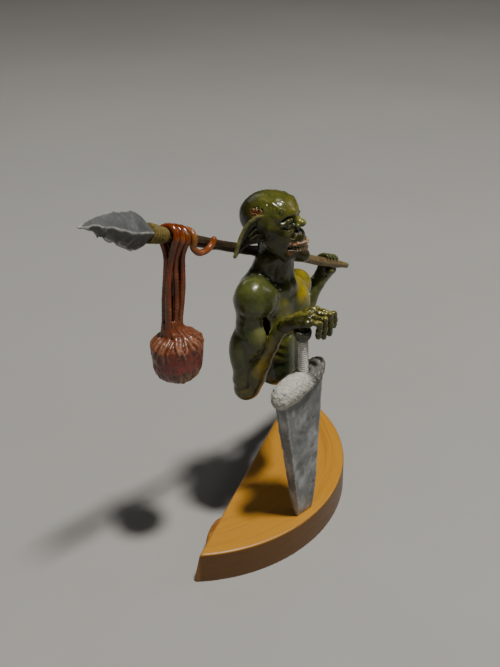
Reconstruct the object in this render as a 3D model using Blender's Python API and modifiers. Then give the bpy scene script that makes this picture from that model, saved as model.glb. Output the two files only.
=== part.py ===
"""Goblin bust on a dagger, with spear and hanging trophy, on a half-moon slab.

Millimetres in the tables below, metres in the scene. +Z up, the goblin faces -Y, its left is +X.
The origin is on the underside of the slab, under the blade tip.
"""

import math

import bmesh
import bpy
from mathutils import Matrix, Vector

MM = 0.001
GAP = 0.3                      # clearance between pieces that touch

# slab
BASE_THICK = 18.0
BASE_CENTRE = (-7.4, 81.4)
BASE_RADIUS = 88.0
CHORD_POINT = (-59.4, 16.7)
CHORD_ANGLE = 25.4
CHORD_FLARE = 3.0              # the sawn face leans out towards the underside
BARK_AT = (-43.0, 27.0, 9.0)

# support rod and dagger, on one leaning axis
ROD_RADIUS = 1.25
ROD_FOOT = (0.0, 0.0, 18.0)
ROD_TOP = (-5.2, 2.0, 128.4)
WIRE_RADIUS = 0.62
WRAP_PITCH = 1.36
WRAP_FROM, WRAP_TO = 108.2, 126.0
POMMEL_FROM, POMMEL_TO = 127.0, 129.3

# figure
TORSO_AT = (7.0, 31.0)
TORSO_YAW = 12.0
HEAD_AT = (2.5, 32.0, 176.0)
HEAD_YAW = 22.0
CLAY_WALL = 4.0
ARMATURE_RADIUS = 0.8
EYE_RADIUS = 2.0
EAR = ((10.4, -1.0, -1.2, 0.0, 0.0), (10.5, -0.9, -1.2, 5.6, 1.2), (13.2, 2.4, -2.0, 5.4, 1.4), (15.6, 5.4, -4.6, 4.4, 1.3), (17.8, 7.9, -9.2, 2.4, 1.0), (19.4, 9.3, -14.0, 0.0, 0.0))

# spear
SPEAR_BUTT = (87.0, 50.0, 116.5)
SPEAR_TIP = (-100.8, 36.0, 203.0)
SHAFT_RADIUS = 2.7
HEAD_LENGTH = 39.4
FIST_AT = 0.900                # share of the length from the tip
WRAP_AT = 0.2693
STRAND_RADIUS = 1.25
BULB_AT = (-51.0, 39.7)

for old in list(bpy.data.objects):
    bpy.data.objects.remove(old, do_unlink=True)

parts = bpy.data.collections.new("goblin_figurine")
cutters = bpy.data.collections.new("cutters")
bpy.context.scene.collection.children.link(parts)
bpy.context.scene.collection.children.link(cutters)
cutters.hide_render = True


def paint(name, colour, roughness, metallic=0.0):
    material = bpy.data.materials.new(name)
    material.use_nodes = True
    shader = material.node_tree.nodes["Principled BSDF"]
    shader.inputs["Base Color"].default_value = (*colour, 1.0)
    shader.inputs["Roughness"].default_value = roughness
    shader.inputs["Metallic"].default_value = metallic
    material.diffuse_color = (*colour, 1.0)
    return material


WOOD = paint("honey_wood", (0.56, 0.36, 0.13), 0.45)
STEEL = paint("mottled_grey", (0.42, 0.44, 0.45), 0.4)
STONE = paint("white_stone", (0.72, 0.71, 0.67), 0.7)
WIRE = paint("silver_wire", (0.6, 0.6, 0.58), 0.35)
DARK = paint("dark_knob", (0.06, 0.07, 0.05), 0.45)
ROD = paint("rod_steel", (0.5, 0.5, 0.5), 0.35, 1.0)
SKIN = paint("green_skin", (0.16, 0.17, 0.06), 0.28)
FOIL = paint("crumpled_foil", (0.7, 0.7, 0.7), 0.4, 1.0)
EYE = paint("eye_ball", (0.22, 0.16, 0.07), 0.15)
TOOTH = paint("tooth_ivory", (0.66, 0.58, 0.4), 0.35)
SHAFT = paint("shaft_wood", (0.11, 0.08, 0.05), 0.5)
FLINT = paint("flint_grey", (0.36, 0.38, 0.4), 0.4)
CORD = paint("olive_cord", (0.4, 0.33, 0.14), 0.6)
SINEW = paint("red_sinew", (0.3, 0.09, 0.04), 0.22)
BULB = paint("red_bulb", (0.36, 0.14, 0.1), 0.3)


def add(name, mesh, material=None, cutter=False):
    obj = bpy.data.objects.new(name, mesh)
    (cutters if cutter else parts).objects.link(obj)
    if cutter:
        obj.hide_render = True
        obj.display_type = "WIRE"
    else:
        mesh.materials.append(material)
    return obj


def mesh_of(name, bm):
    bmesh.ops.recalc_face_normals(bm, faces=bm.faces)
    if bm.calc_volume(signed=True) < 0:
        bmesh.ops.reverse_faces(bm, faces=bm.faces)
    mesh = bpy.data.meshes.new(name)
    bm.to_mesh(mesh)
    bm.free()
    return mesh


def ball_loft(name, rings, sides, turn=0.0):
    """A sphere drawn out along rings of (centre, side axis, side radius, other axis, other radius). The first and last hold poles only."""
    bm = bmesh.new()
    bands = len(rings) - 1
    bmesh.ops.create_uvsphere(bm, u_segments=sides, v_segments=bands, radius=1.0)
    for vert in bm.verts:
        band = round(math.acos(max(-1.0, min(1.0, vert.co.z))) / math.pi * bands)
        centre, u, a, v, b = rings[band]
        angle = math.atan2(vert.co.y, vert.co.x) + turn
        pole = band in (0, bands)
        along = 0.0 if pole else a * math.cos(angle)
        across = 0.0 if pole else b * math.sin(angle)
        vert.co = (Vector(centre) + Vector(u) * along + Vector(v) * across) * MM
    return mesh_of(name, bm)


def limb_rings(points, grow=0.0, width=1.0, side=(1.0, 0.0, 0.0), round_ends=True):
    """Rings for a limb through (x, y, z, radius) points, with rounded ends."""
    places = [Vector(p[:3]) for p in points]
    radii = [p[3] + grow for p in points]
    tangents = []
    for i in range(len(places)):
        before, after = places[max(0, i - 1)], places[min(len(places) - 1, i + 1)]
        tangents.append((after - before).normalized())
    rows = []
    first, last = tangents[0], tangents[-1]
    start, end = places[0] - first * radii[0], places[-1] + last * radii[-1]
    stops = [(start, first, 0.0)]
    if round_ends:
        stops.append((places[0] - first * radii[0] * 0.7, first, radii[0] * 0.71))
    stops += list(zip(places, tangents, radii))
    if round_ends:
        stops.append((places[-1] + last * radii[-1] * 0.7, last, radii[-1] * 0.71))
    stops.append((end, last, 0.0))
    for centre, tangent, radius in stops:
        u = (Vector(side) - tangent * tangent.dot(Vector(side))).normalized()
        v = tangent.cross(u)
        rows.append((centre, u, radius * width, v, radius))
    return rows


def limb(name, points, sides=10, grow=0.0, width=1.0, side=(1.0, 0.0, 0.0)):
    return ball_loft(name, limb_rings(points, grow, width, side), sides)


def tube(name, points, radius, resolution=1):
    """A round bar along points, from a bevelled curve with filled ends."""
    curve = bpy.data.curves.new(name, "CURVE")
    curve.dimensions = "3D"
    curve.bevel_depth = radius * MM
    curve.bevel_resolution = resolution
    curve.use_fill_caps = True
    spline = curve.splines.new("POLY")
    spline.points.add(len(points) - 1)
    for spot, p in zip(spline.points, points):
        spot.co = (p[0] * MM, p[1] * MM, p[2] * MM, 1.0)
    holder = bpy.data.objects.new(name + "_line", curve)
    cutters.objects.link(holder)
    holder.hide_render = True
    bpy.context.view_layer.update()
    mesh = bpy.data.meshes.new_from_object(holder.evaluated_get(bpy.context.evaluated_depsgraph_get()))
    bpy.data.objects.remove(holder, do_unlink=True)
    bm = bmesh.new()
    bm.from_mesh(mesh)
    bpy.data.meshes.remove(mesh)
    bmesh.ops.remove_doubles(bm, verts=bm.verts, dist=1e-6)
    return mesh_of(name, bm)


def smooth(points, steps=4):
    """More points on a rounded path through these."""
    out = []
    pts = [Vector(p) for p in points]
    for i in range(len(pts) - 1):
        p0, p1 = pts[max(0, i - 1)], pts[i]
        p2, p3 = pts[i + 1], pts[min(len(pts) - 1, i + 2)]
        for k in range(steps):
            t = k / steps
            out.append(
                0.5
                * (
                    2 * p1
                    + (p2 - p0) * t
                    + (2 * p0 - 5 * p1 + 4 * p2 - p3) * t * t
                    + (3 * p1 - p0 - 3 * p2 + p3) * t**3
                )
            )
    return out + [pts[-1]]


def ball(name, centre, radii, turn=None, sides=16, bands=10):
    bm = bmesh.new()
    bmesh.ops.create_uvsphere(bm, u_segments=sides, v_segments=bands, radius=1.0)
    matrix = turn.to_4x4() if turn else Matrix()
    for vert in bm.verts:
        local = Vector((vert.co.x * radii[0], vert.co.y * radii[1], vert.co.z * radii[2]))
        vert.co = (matrix @ local + Vector(centre)) * MM
    return mesh_of(name, bm)


def cut(obj, cutter, operation="DIFFERENCE"):
    step = obj.modifiers.new("cut_" + cutter.name, "BOOLEAN")
    step.solver = "EXACT"
    step.operation = operation
    step.object = cutter


def cutter(name, mesh):
    return add("cut_" + name, mesh, cutter=True)


# ------------------------------------------------------------------ axes
rod_way = (Vector(ROD_TOP) - Vector(ROD_FOOT)).normalized()


def on_rod(z):
    return Vector(ROD_FOOT) + rod_way * ((z - ROD_FOOT[2]) / rod_way.z)


spear_way = (Vector(SPEAR_TIP) - Vector(SPEAR_BUTT)).normalized()
spear_length = (Vector(SPEAR_TIP) - Vector(SPEAR_BUTT)).length
spear_up = (Vector((0, 0, 1)) - spear_way * spear_way.z).normalized()
spear_front = spear_up.cross(spear_way).normalized()
if spear_front.y > 0:
    spear_front = -spear_front


def on_spear(share):
    return Vector(SPEAR_TIP) - spear_way * (spear_length * share)


torso_turn = Matrix.Rotation(math.radians(TORSO_YAW), 3, "Z")
head_turn = Matrix.Rotation(math.radians(HEAD_YAW), 3, "Z")


def in_torso(x, y, z):
    return torso_turn @ Vector((x, y, 0)) + Vector((TORSO_AT[0], TORSO_AT[1], z))


def in_head(x, y, z):
    return head_turn @ Vector((x, y, z)) + Vector(HEAD_AT)


rod_hole = cutter("rod", tube("rod_hole", [on_rod(7.6), on_rod(134.4)], ROD_RADIUS + GAP, 2))

# ------------------------------------------------------------------ slab
bm = bmesh.new()
bmesh.ops.create_cone(bm, cap_ends=True, segments=96, radius1=BASE_RADIUS * MM, radius2=BASE_RADIUS * MM, depth=BASE_THICK * MM)
bmesh.ops.translate(bm, verts=bm.verts, vec=Vector((*BASE_CENTRE, BASE_THICK / 2)) * MM)
base = add("wood_base", mesh_of("wood_base", bm), WOOD)
bm = bmesh.new()
bmesh.ops.create_cube(bm, size=1.0)
chord = Matrix.Rotation(math.radians(CHORD_ANGLE), 3, "Z")
for vert in bm.verts:
    lean = CHORD_FLARE * (0.5 - vert.co.z * 30.0 / BASE_THICK) if vert.co.y < 0 else 0.0
    local = Vector((vert.co.x * 300.0 + 60.0, (vert.co.y + 0.5) * 200.0 + lean, 0.0))
    spot = chord @ local + Vector((*CHORD_POINT, BASE_THICK / 2 + vert.co.z * 30.0))
    vert.co = spot * MM
cut(base, cutter("chord", mesh_of("chord", bm)))
cut(base, cutter("bark", ball("bark", BARK_AT, (12.5, 4.0, 7.0), chord, 14, 8)), "UNION")
cut(base, rod_hole)

# ------------------------------------------------------------------ dagger
rod = add("support_rod", tube("support_rod", [on_rod(8.0), on_rod(134.0)], ROD_RADIUS, 2), ROD)

X, Y = Vector((1, 0, 0)), Vector((0, 1, 0))
blade_rows = [(18.3, -1.4, 7.4, 2.7), (34.0, -2.05, 9.65, 3.0), (56.0, -3.3, 12.1, 3.4), (78.0, -4.75, 14.75, 3.7), (99.0, -6.0, 17.0, 4.0)]
rings = [((-1.4, on_rod(18.3).y, 18.3), X, 0, Y, 0)]
rings += [((x, on_rod(z).y, z), X, a, Y, b) for z, x, a, b in blade_rows]
rings += [((-6.0, on_rod(99.0).y, 99.0), X, 0, Y, 0)]
blade = add("dagger_blade", ball_loft("dagger_blade", rings, 8), STEEL)

Z = Vector((0, 0, 1))
guard_rows = [(-24.2, 97.4, 3.2, 3.0), (-21.0, 98.4, 5.6, 5.0), (-13.0, 99.7, 6.3, 5.8), (-6.0, 101.2, 5.6, 5.6), (0.0, 102.8, 5.2, 5.2), (4.6, 104.8, 4.7, 4.3), (7.2, 106.9, 2.6, 2.6)]


def guard_mesh(grow):
    rows = [((guard_rows[0][0] - grow, 1.5, guard_rows[0][1]), Z, 0, Y, 0)]
    rows += [((x, 1.5, z), Z, a + grow, Y, b + grow) for x, z, a, b in guard_rows]
    rows += [((guard_rows[-1][0] + 0.6 + grow, 1.5, guard_rows[-1][1] + 0.6), Z, 0, Y, 0)]
    return ball_loft("dagger_guard", rows, 12)


guard = add("dagger_guard", guard_mesh(0.0), STONE)
cut(guard, rod_hole)
cut(blade, cutter("guard", guard_mesh(GAP)))
cut(blade, rod_hole)

turns = (WRAP_TO - WRAP_FROM) / WRAP_PITCH
per_turn = 9
coil_radius = ROD_RADIUS + 0.12 + WIRE_RADIUS
side_u = rod_way.orthogonal().normalized()
side_v = rod_way.cross(side_u)
coil = []
for i in range(int(turns * per_turn) + 1):
    angle = 2 * math.pi * i / per_turn
    spot = on_rod(WRAP_FROM + WRAP_PITCH * i / per_turn)
    coil.append(spot + (side_u * math.cos(angle) + side_v * math.sin(angle)) * (coil_radius + 0.12))
wrap = add("grip_wire_wrap", tube("grip_wire_wrap", coil, WIRE_RADIUS, 1), WIRE)

rings = []
for z, r in ((POMMEL_FROM, 0.0), (POMMEL_FROM, 3.4), (POMMEL_FROM + 1.1, 4.4), (POMMEL_TO, 3.6), (POMMEL_TO, 0.0)):
    rings.append((on_rod(z), side_u, r, side_v, r))
pommel = add("pommel", ball_loft("pommel", rings, 14), DARK)
cut(pommel, rod_hole)

# ------------------------------------------------------------------ torso
torso_rows = [(82.0, -2.0, 6.0, 4.5), (85.6, -2.0, 10.5, 8.0), (91.0, -1.0, 13.8, 11.3), (98.0, 0.0, 15.5, 12.5), (107.0, 0.0, 15.5, 12.5), (116.0, 0.0, 17.5, 13.0), (126.0, 0.0, 19.5, 13.5), (134.0, 0.0, 19.5, 13.0), (140.0, 0.0, 16.0, 11.5), (146.0, 0.0, 10.5, 9.5), (151.0, -0.5, 8.8, 8.8), (157.0, -1.0, 8.2, 8.2), (162.5, -1.5, 7.6, 7.6)]
TX, TY = torso_turn @ X, torso_turn @ Y


def torso_mesh(name, grow, low, high):
    rows = [(z, y, a + grow, b + grow) for z, y, a, b in torso_rows if low <= z <= high]
    down, up = rows[0], rows[-1]
    rings = [(in_torso(0, down[1], down[0] - 1.6), TX, 0, TY, 0)]
    rings += [(in_torso(0, y, z), TX, a, TY, b) for z, y, a, b in rows]
    rings += [(in_torso(0, up[1], up[0] + 0.4), TX, 0, TY, 0)]
    return ball_loft(name, rings, 20)


torso = add("torso", torso_mesh("torso", 0.0, 79, 163), SKIN)
torso_core = add("torso_core", torso_mesh("torso_core", -CLAY_WALL - GAP, 90, 134), FOIL)
hollow = cutter("torso_core", torso_mesh("torso_hollow", -CLAY_WALL, 90, 134))

# ------------------------------------------------------------------ head
head = add("head", ball("head", HEAD_AT, (12.5, 14.3, 12.4), head_turn, 20, 12), SKIN)
cut(head, cutter("jaw", ball("jaw", in_head(0, -9.6, -11.2), (8.6, 9.2, 9.6), head_turn, 16, 10)), "UNION")
cut(head, cutter("nose", ball("nose", in_head(0, -15.4, -2.2), (2.6, 4.0, 3.2), head_turn, 10, 8)), "UNION")
neck_rows = [(z, y, a, b) for z, y, a, b in torso_rows if z >= 146]
rings = [(in_torso(0, 0.0, 145.0), TX, 0, TY, 0)]
rings += [(in_torso(0, y, z), TX, a + GAP, TY, b + GAP) for z, y, a, b in neck_rows]
rings += [(in_torso(0, -1.5, 163.3), TX, 0, TY, 0)]
cut(head, cutter("neck", ball_loft("neck_socket", rings, 20)))
head_core = add("head_core", ball("head_core", in_head(0, 0.5, 2.0), (7.6, 9.2, 7.0), head_turn, 14, 8), FOIL)
cut(head, cutter("head_core", ball("head_hollow", in_head(0, 0.5, 2.0), (7.9, 9.5, 7.3), head_turn, 14, 8)))
for side, sign in (("right", -1), ("left", 1)):
    at = in_head(sign * 5.2, -11.0, 1.0)
    add(side + "_eye", ball(side + "_eye", at, (EYE_RADIUS,) * 3, None, 12, 8), EYE)
    cut(head, cutter(side + "_eye", ball(side + "_socket", at, (EYE_RADIUS + GAP,) * 3, None, 12, 8)))
bm = bmesh.new()
bmesh.ops.create_cube(bm, size=1.0)
for vert in bm.verts:
    narrow = 0.72 if vert.co.y < 0 else 1.0
    vert.co = in_head(vert.co.x * 13.6 * narrow, vert.co.y * 10.0 - 16.0, vert.co.z * 5.4 - 11.2) * MM
cut(head, cutter("mouth", mesh_of("mouth", bm)))
for name, level, way in (("upper_teeth", -9.3, -1), ("lower_teeth", -13.1, 1)):
    arc = [in_head(5.2 * math.sin(t), -12.9 - 5.0 * math.cos(t), level) for t in (math.radians(a) for a in (-80, -48, -16, 16, 48, 80))]
    row = add(name, tube(name, arc, 0.55, 1), TOOTH)
    for i, t in enumerate(math.radians(a) for a in (-66, -40, -13, 13, 40, 66)):
        bm = bmesh.new()
        bmesh.ops.create_cone(bm, cap_ends=True, segments=6, radius1=0.62 * MM, radius2=0.25 * MM, depth=1.7 * MM)
        if way < 0:
            bmesh.ops.rotate(bm, verts=bm.verts, cent=(0, 0, 0), matrix=Matrix.Rotation(math.pi, 3, "X"))
        bmesh.ops.translate(bm, verts=bm.verts, vec=in_head(5.2 * math.sin(t), -12.9 - 5.0 * math.cos(t), level + way * 0.8) * MM)
        cut(row, cutter(f"{name}_{i}", mesh_of(name + str(i), bm)), "UNION")

# ears: flat leaves from the temple, drooping outwards
for side, sign in (("right", -1), ("left", 1)):
    rows = []
    for x, y, z, wide, thick in EAR:
        up = (head_turn @ Vector((sign * 0.3, 0.2, 0.93))).normalized()
        rows.append((in_head(sign * x, y, z), up, wide, (head_turn @ Vector((sign * 0.6, -0.8, 0.0))).normalized(), thick))
    ear = add(side + "_ear", ball_loft(side + "_ear", rows, 10), SKIN)
    cut(ear, cutter(side + "_ear_root", ball(side + "_ear_root", HEAD_AT, (12.5 + GAP, 14.3 + GAP, 12.4 + GAP), head_turn, 20, 12)))

# ------------------------------------------------------------------ arms
R_UPPER = [(-12.0, 28.0, 139.0, 9.8), (-14.0, 29.0, 122.0, 7.8), (-16.0, 30.0, 107.0, 7.7), (-16.0, 30.0, 95.0, 7.3)]
R_FORE = [(-14.9, 28.7, 89.8, 6.8), (-11.2, 24.2, 105.0, 6.3), (-8.7, 19.6, 116.0, 4.4), (-7.3, 14.6, 125.4, 3.3)]
L_UPPER = [(26.1, 35.3, 132.6, 8.5), (36.0, 45.0, 115.6, 7.5), (45.5, 52.0, 98.0, 7.1)]
L_FORE = [(48.0, 54.0, 93.0, 6.8), (55.5, 53.2, 103.5, 6.2), (64.5, 52.8, 112.6, 4.6)]

right_upper = add("right_upper_arm", limb("right_upper_arm", R_UPPER, 12), SKIN)
left_upper = add("left_upper_arm", limb("left_upper_arm", L_UPPER, 12), SKIN)
right_fore = add("right_forearm", limb("right_forearm", R_FORE, 12), SKIN)
left_fore = add("left_forearm", limb("left_forearm", L_FORE, 12), SKIN)
for side, line in (("right", R_UPPER), ("left", L_UPPER)):
    cut(hollow, cutter(side + "_socket_wall", limb(side + "_socket_wall", line, 12, 3.0)))
    cut(torso_core, cutter(side + "_core_wall", limb(side + "_core_wall", line, 12, 3.0 + GAP)))
right_fore_big = cutter("right_fore", limb("right_fore_big", R_FORE, 12, GAP))
cut(right_upper, right_fore_big)
cut(torso, right_fore_big)
cut(torso, cutter("right_upper", limb("right_upper_big", R_UPPER, 12, GAP)))
cut(torso, cutter("left_upper", limb("left_upper_big", L_UPPER, 12, GAP)))
cut(torso, hollow)
cut(left_upper, cutter("left_fore", limb("left_fore_big", L_FORE, 12, GAP)))

# right hand: palm over the pommel, fingers hanging over its edge
hand_way = Vector((0.69, -0.70, 0.16)).normalized()
hand_side = Vector((0.71, 0.70, 0.0)).normalized()
PALM = [(-6.9, 10.6, 129.8, 3.7), (-4.6, 5.0, 133.3, 4.3), (-0.6, 0.6, 134.8, 3.6)]


def palm_mesh(name, grow):
    return limb(name, PALM, 12, grow, 1.45, hand_side)


right_hand = add("right_hand", palm_mesh("right_hand", 0.0), SKIN)
cut(right_fore, cutter("palm", palm_mesh("palm_big", GAP)))
pommel_big = []
for z, r in ((POMMEL_FROM - GAP, 0.0), (POMMEL_FROM - GAP, 3.4 + GAP), (POMMEL_FROM + 1.1, 4.4 + GAP), (POMMEL_TO + GAP, 3.6 + GAP), (POMMEL_TO + GAP, 0.0)):
    pommel_big.append((on_rod(z), side_u, r, side_v, r))
cut(right_hand, cutter("pommel", ball_loft("pommel_big", pommel_big, 14)))
cut(right_hand, rod_hole)

FINGERS = (
    ("little", -5.1, ((-0.4, 0.7), (3.7, -1.1), (3.5, -7.9))),
    ("ring", -1.7, ((0.6, 1.3), (6.4, -0.8), (6.4, -10.6))),
    ("middle", 1.7, ((1.6, 1.6), (9.0, -0.9), (9.5, -11.1))),
    ("index", 5.1, ((2.4, 1.4), (11.2, -2.6), (11.6, -8.7))),
)
for finger, offset, stations in FINGERS:
    line = []
    for along, down in stations:
        spot = Vector((-0.8, 0.8, 134.9)) + hand_way * along + hand_side * offset + Z * down
        line.append((*spot, 1.3))
    node = add(f"right_{finger}_finger", limb(finger, line, 8, side=hand_side), SKIN)
    cut(right_hand, cutter(f"right_{finger}", limb(finger + "_big", line, 8, GAP, side=hand_side)))
THUMB = [(-2.4, 8.4, 131.4, 1.7), (0.2, 8.6, 127.6, 1.5), (1.4, 6.6, 123.4, 1.3)]
add("right_thumb", limb("right_thumb", THUMB, 8), SKIN)
thumb_big = cutter("right_thumb", limb("right_thumb_big", THUMB, 8, GAP))
cut(right_hand, thumb_big)
cut(right_fore, thumb_big)

# left hand: palm behind the shaft, fingers over it, thumb under it
fist = on_spear(FIST_AT)
L_PALM = [(68.0, 52.4, 115.0, 4.5), (73.0, 52.9, 119.6, 4.3), (73.8, 54.6, 124.2, 3.3)]


def left_palm_mesh(name, grow):
    return limb(name, L_PALM, 12, grow, 1.5, tuple(spear_way))


shaft_hole = cutter("shaft", tube("shaft_hole", [on_spear(0.5), on_spear(1.05)], SHAFT_RADIUS + 0.4, 4))
left_hand = add("left_hand", left_palm_mesh("left_hand", 0.0), SKIN)
cut(left_fore, cutter("left_palm", left_palm_mesh("left_palm_big", GAP)))
cut(left_hand, shaft_hole)
cut(left_fore, shaft_hole)


def round_shaft(along, start, stop, radius, count):
    return [fist - spear_way * along + (-spear_front * math.cos(t) + spear_up * math.sin(t)) * radius for t in (math.radians(start + (stop - start) * i / (count - 1)) for i in range(count))]


grip_radius = SHAFT_RADIUS + 0.55 + 1.3
for finger, along in (("index", -5.1), ("middle", -1.7), ("ring", 1.7), ("little", 5.1)):
    line = [(*p, 1.25) for p in round_shaft(along, 18, 138, grip_radius, 5)]
    add(f"left_{finger}_finger", limb("left_" + finger, line, 8, side=tuple(spear_way)), SKIN)
    cut(left_hand, cutter(f"left_{finger}", limb(f"left_{finger}_big", line, 8, GAP, side=tuple(spear_way))))
line = [(*p, 1.5) for p in round_shaft(3.0, -38, -118, grip_radius + 0.3, 4)]
line[-1] = (line[-1][0] + 1.5, line[-1][1], line[-1][2], 1.3)
add("left_thumb", limb("left_thumb", line, 8, side=tuple(spear_way)), SKIN)
left_thumb_big = cutter("left_thumb", limb("left_thumb_big", line, 8, GAP, side=tuple(spear_way)))
cut(left_hand, left_thumb_big)
cut(left_fore, left_thumb_big)

# armature wires, each in its own clearance hole
WIRES = (
    ("right_arm_wire", [(-5.2, 6.4, 132.4), (-6.9, 10.6, 129.4), (-7.3, 14.6, 125.2), (-8.7, 19.6, 116.0), (-11.2, 24.2, 105.0), (-14.7, 28.3, 93.4), (-16.0, 30.0, 104.0), (-14.0, 29.0, 122.0), (-12.0, 28.0, 139.0), (1.0, 30.0, 137.5)], (right_hand, right_fore, right_upper, torso, torso_core)),
    ("left_arm_wire", [(69.6, 52.6, 116.4), (64.5, 52.8, 112.6), (55.5, 53.2, 103.5), (48.4, 54.0, 94.4), (45.5, 52.0, 98.0), (36.0, 45.0, 115.6), (26.1, 35.3, 132.6), (13.0, 32.5, 134.6)], (left_hand, left_fore, left_upper, torso, torso_core)),
    ("neck_wire", [tuple(in_torso(0, 0.0, 128.0)), tuple(in_torso(0, -0.8, 152.0)), tuple(in_torso(-1.5, -1.0, 163.0)), tuple(in_head(0, 0.5, 4.0))], (torso, torso_core, head, head_core)),
)
for name, line, holders in WIRES:
    path = smooth(line, 3)
    add(name, tube(name, path, ARMATURE_RADIUS, 1), ROD)
    first, last = Vector(path[0]), Vector(path[-1])
    path = [first + (first - Vector(path[1])).normalized() * 0.4] + path[1:-1] + [last + (last - Vector(path[-2])).normalized() * 0.4]
    hole = cutter(name, tube(name + "_hole", path, ARMATURE_RADIUS + 0.35, 1))
    for holder in holders:
        cut(holder, hole)

# ------------------------------------------------------------------ spear
spear_home = bpy.data.objects.new("spear_axis", None)
spear_home.location = fist * MM
parts.objects.link(spear_home)
trophy_home = bpy.data.objects.new("trophy_axis", None)
trophy_home.location = on_spear(WRAP_AT) * MM
parts.objects.link(trophy_home)
bpy.context.view_layer.update()


def hang(obj, home):
    obj.parent = home
    obj.matrix_parent_inverse = home.matrix_world.inverted()
    return obj


tang_to = (HEAD_LENGTH - 9.0) / spear_length
shaft = hang(add("spear_shaft", tube("spear_shaft", [on_spear(tang_to), on_spear(0.6), on_spear(1.0)], SHAFT_RADIUS, 4), SHAFT), spear_home)

flat = (spear_up * 0.94 - spear_front * 0.34).normalized()
thin = spear_way.cross(flat)
rings = []
for along, wide, thick in ((0.0, 0.0, 0.0), (0.6, 0.9, 0.8), (10.0, 4.7, 2.8), (17.0, 6.6, 3.6), (23.0, 7.9, 4.2), (29.5, 9.3, 4.6), (34.0, 8.0, 4.8), (HEAD_LENGTH, 4.3, 4.3), (HEAD_LENGTH, 0.0, 0.0)):
    droop = 2.2 * max(0.0, 1 - along / 24.0) ** 2
    rings.append((Vector(SPEAR_TIP) - spear_way * along - flat * droop, flat, wide, thin, thick))
point = hang(add("spear_head", ball_loft("spear_head", rings, 8), FLINT), spear_home)
cut(point, cutter("tang", tube("tang_hole", [on_spear(tang_to) + spear_way * 0.4, on_spear(0.4)], SHAFT_RADIUS + GAP, 4)))

profile = []
steps = 6
for i in range(steps):
    z = -0.4 - i * 1.78
    r = 4.25 - i * 0.18
    profile += [(r, z), (r + 0.32, z - 0.88), (r, z - 1.68)]
profile += [(SHAFT_RADIUS + GAP, -0.4 - steps * 1.78), (SHAFT_RADIUS + GAP, -0.4)]
bm = bmesh.new()
loop = [bm.verts.new((r * MM, 0.0, z * MM)) for r, z in profile]
for a, b in zip(loop, loop[1:] + loop[:1]):
    bm.edges.new((a, b))
mesh = bpy.data.meshes.new("spear_binding")
bm.to_mesh(mesh)
bm.free()
binding = add("spear_binding", mesh, CORD)
spin = binding.modifiers.new("turned", "SCREW")
spin.axis = "Z"
spin.steps = spin.render_steps = 16
spin.use_merge_vertices = True
spin.merge_threshold = 0.00001
spin.use_normal_calculate = True
aim = Matrix((spear_up.cross(spear_way), spear_up, spear_way)).transposed().to_4x4()
binding.matrix_world = Matrix.Translation((Vector(SPEAR_TIP) - spear_way * HEAD_LENGTH) * MM) @ aim
bpy.context.view_layer.update()
hang(binding, spear_home)

# ------------------------------------------------------------------ trophy
hub = on_spear(WRAP_AT)
loop_radius = SHAFT_RADIUS + 0.4 + STRAND_RADIUS
bulb_top = 130.6
for i, along in enumerate((-3.6, 0.0, 3.6)):
    arch = [hub - spear_way * along + (spear_front * math.cos(t) + spear_up * math.sin(t)) * loop_radius for t in (math.radians(a) for a in (-5, 28, 60, 90, 120, 152, 185))]
    foot = Vector((BULB_AT[0] - 1.4 + along * 0.82, BULB_AT[1] + 1.3, bulb_top + 0.3))
    knee = hub - spear_way * along - Z * 11.0
    bow = (foot + knee) / 2 + X * (along * 0.16)
    front = [point + Vector((0, -1.5, 0)) for point in (foot, bow, knee)]
    back = [point + Vector((0, 1.5, 0)) for point in (knee, bow, foot)]
    path = smooth(front + [arch[0]], 2) + arch[1:-1] + smooth([arch[-1]] + back, 2)
    hang(add(f"strand_loop_{i + 1}", tube(f"strand_loop_{i + 1}", path, STRAND_RADIUS, 1), SINEW), trophy_home)

spiral = []
for i in range(8):
    t = math.radians(30 * i)
    spiral.append(hub - spear_way * (6.9 + 3.2 * i / 7) + (-spear_front * math.cos(t) + spear_up * math.sin(t)) * loop_radius)
curl = [hub - spear_way * along + spear_up * up + spear_front * out for along, up, out in ((11.2, -3.6, 4.4), (14.4, -4.4, 4.9), (18.8, -2.6, 5.0), (21.2, 0.2, 4.9), (21.8, 2.8, 4.7))]
tail = spiral + smooth(curl, 2)
hang(add("tail_strand", tube("tail_strand", tail, 1.3, 1), SINEW), trophy_home)

rings = [((*BULB_AT, bulb_top), X, 0, Y, 0)]
for z, a, b in ((bulb_top, 7.0, 6.0), (129.4, 10.2, 8.8), (127.2, 12.3, 10.6), (122.0, 13.0, 11.2), (116.5, 12.6, 11.0), (111.5, 10.6, 9.6), (108.0, 7.2, 6.6), (106.2, 3.8, 3.6)):
    rings.append(((*BULB_AT, z), X, a, Y, b))
rings.append(((*BULB_AT, 105.6), X, 0, Y, 0))
hang(add("trophy_bulb", ball_loft("trophy_bulb", rings, 18), BULB), trophy_home)
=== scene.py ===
"""Looks of the goblin figurine: sculpted skin, stone, wood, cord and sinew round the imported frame.

Tables are in millimetres and are turned into metres where a mesh is made.
"""

import math

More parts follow.
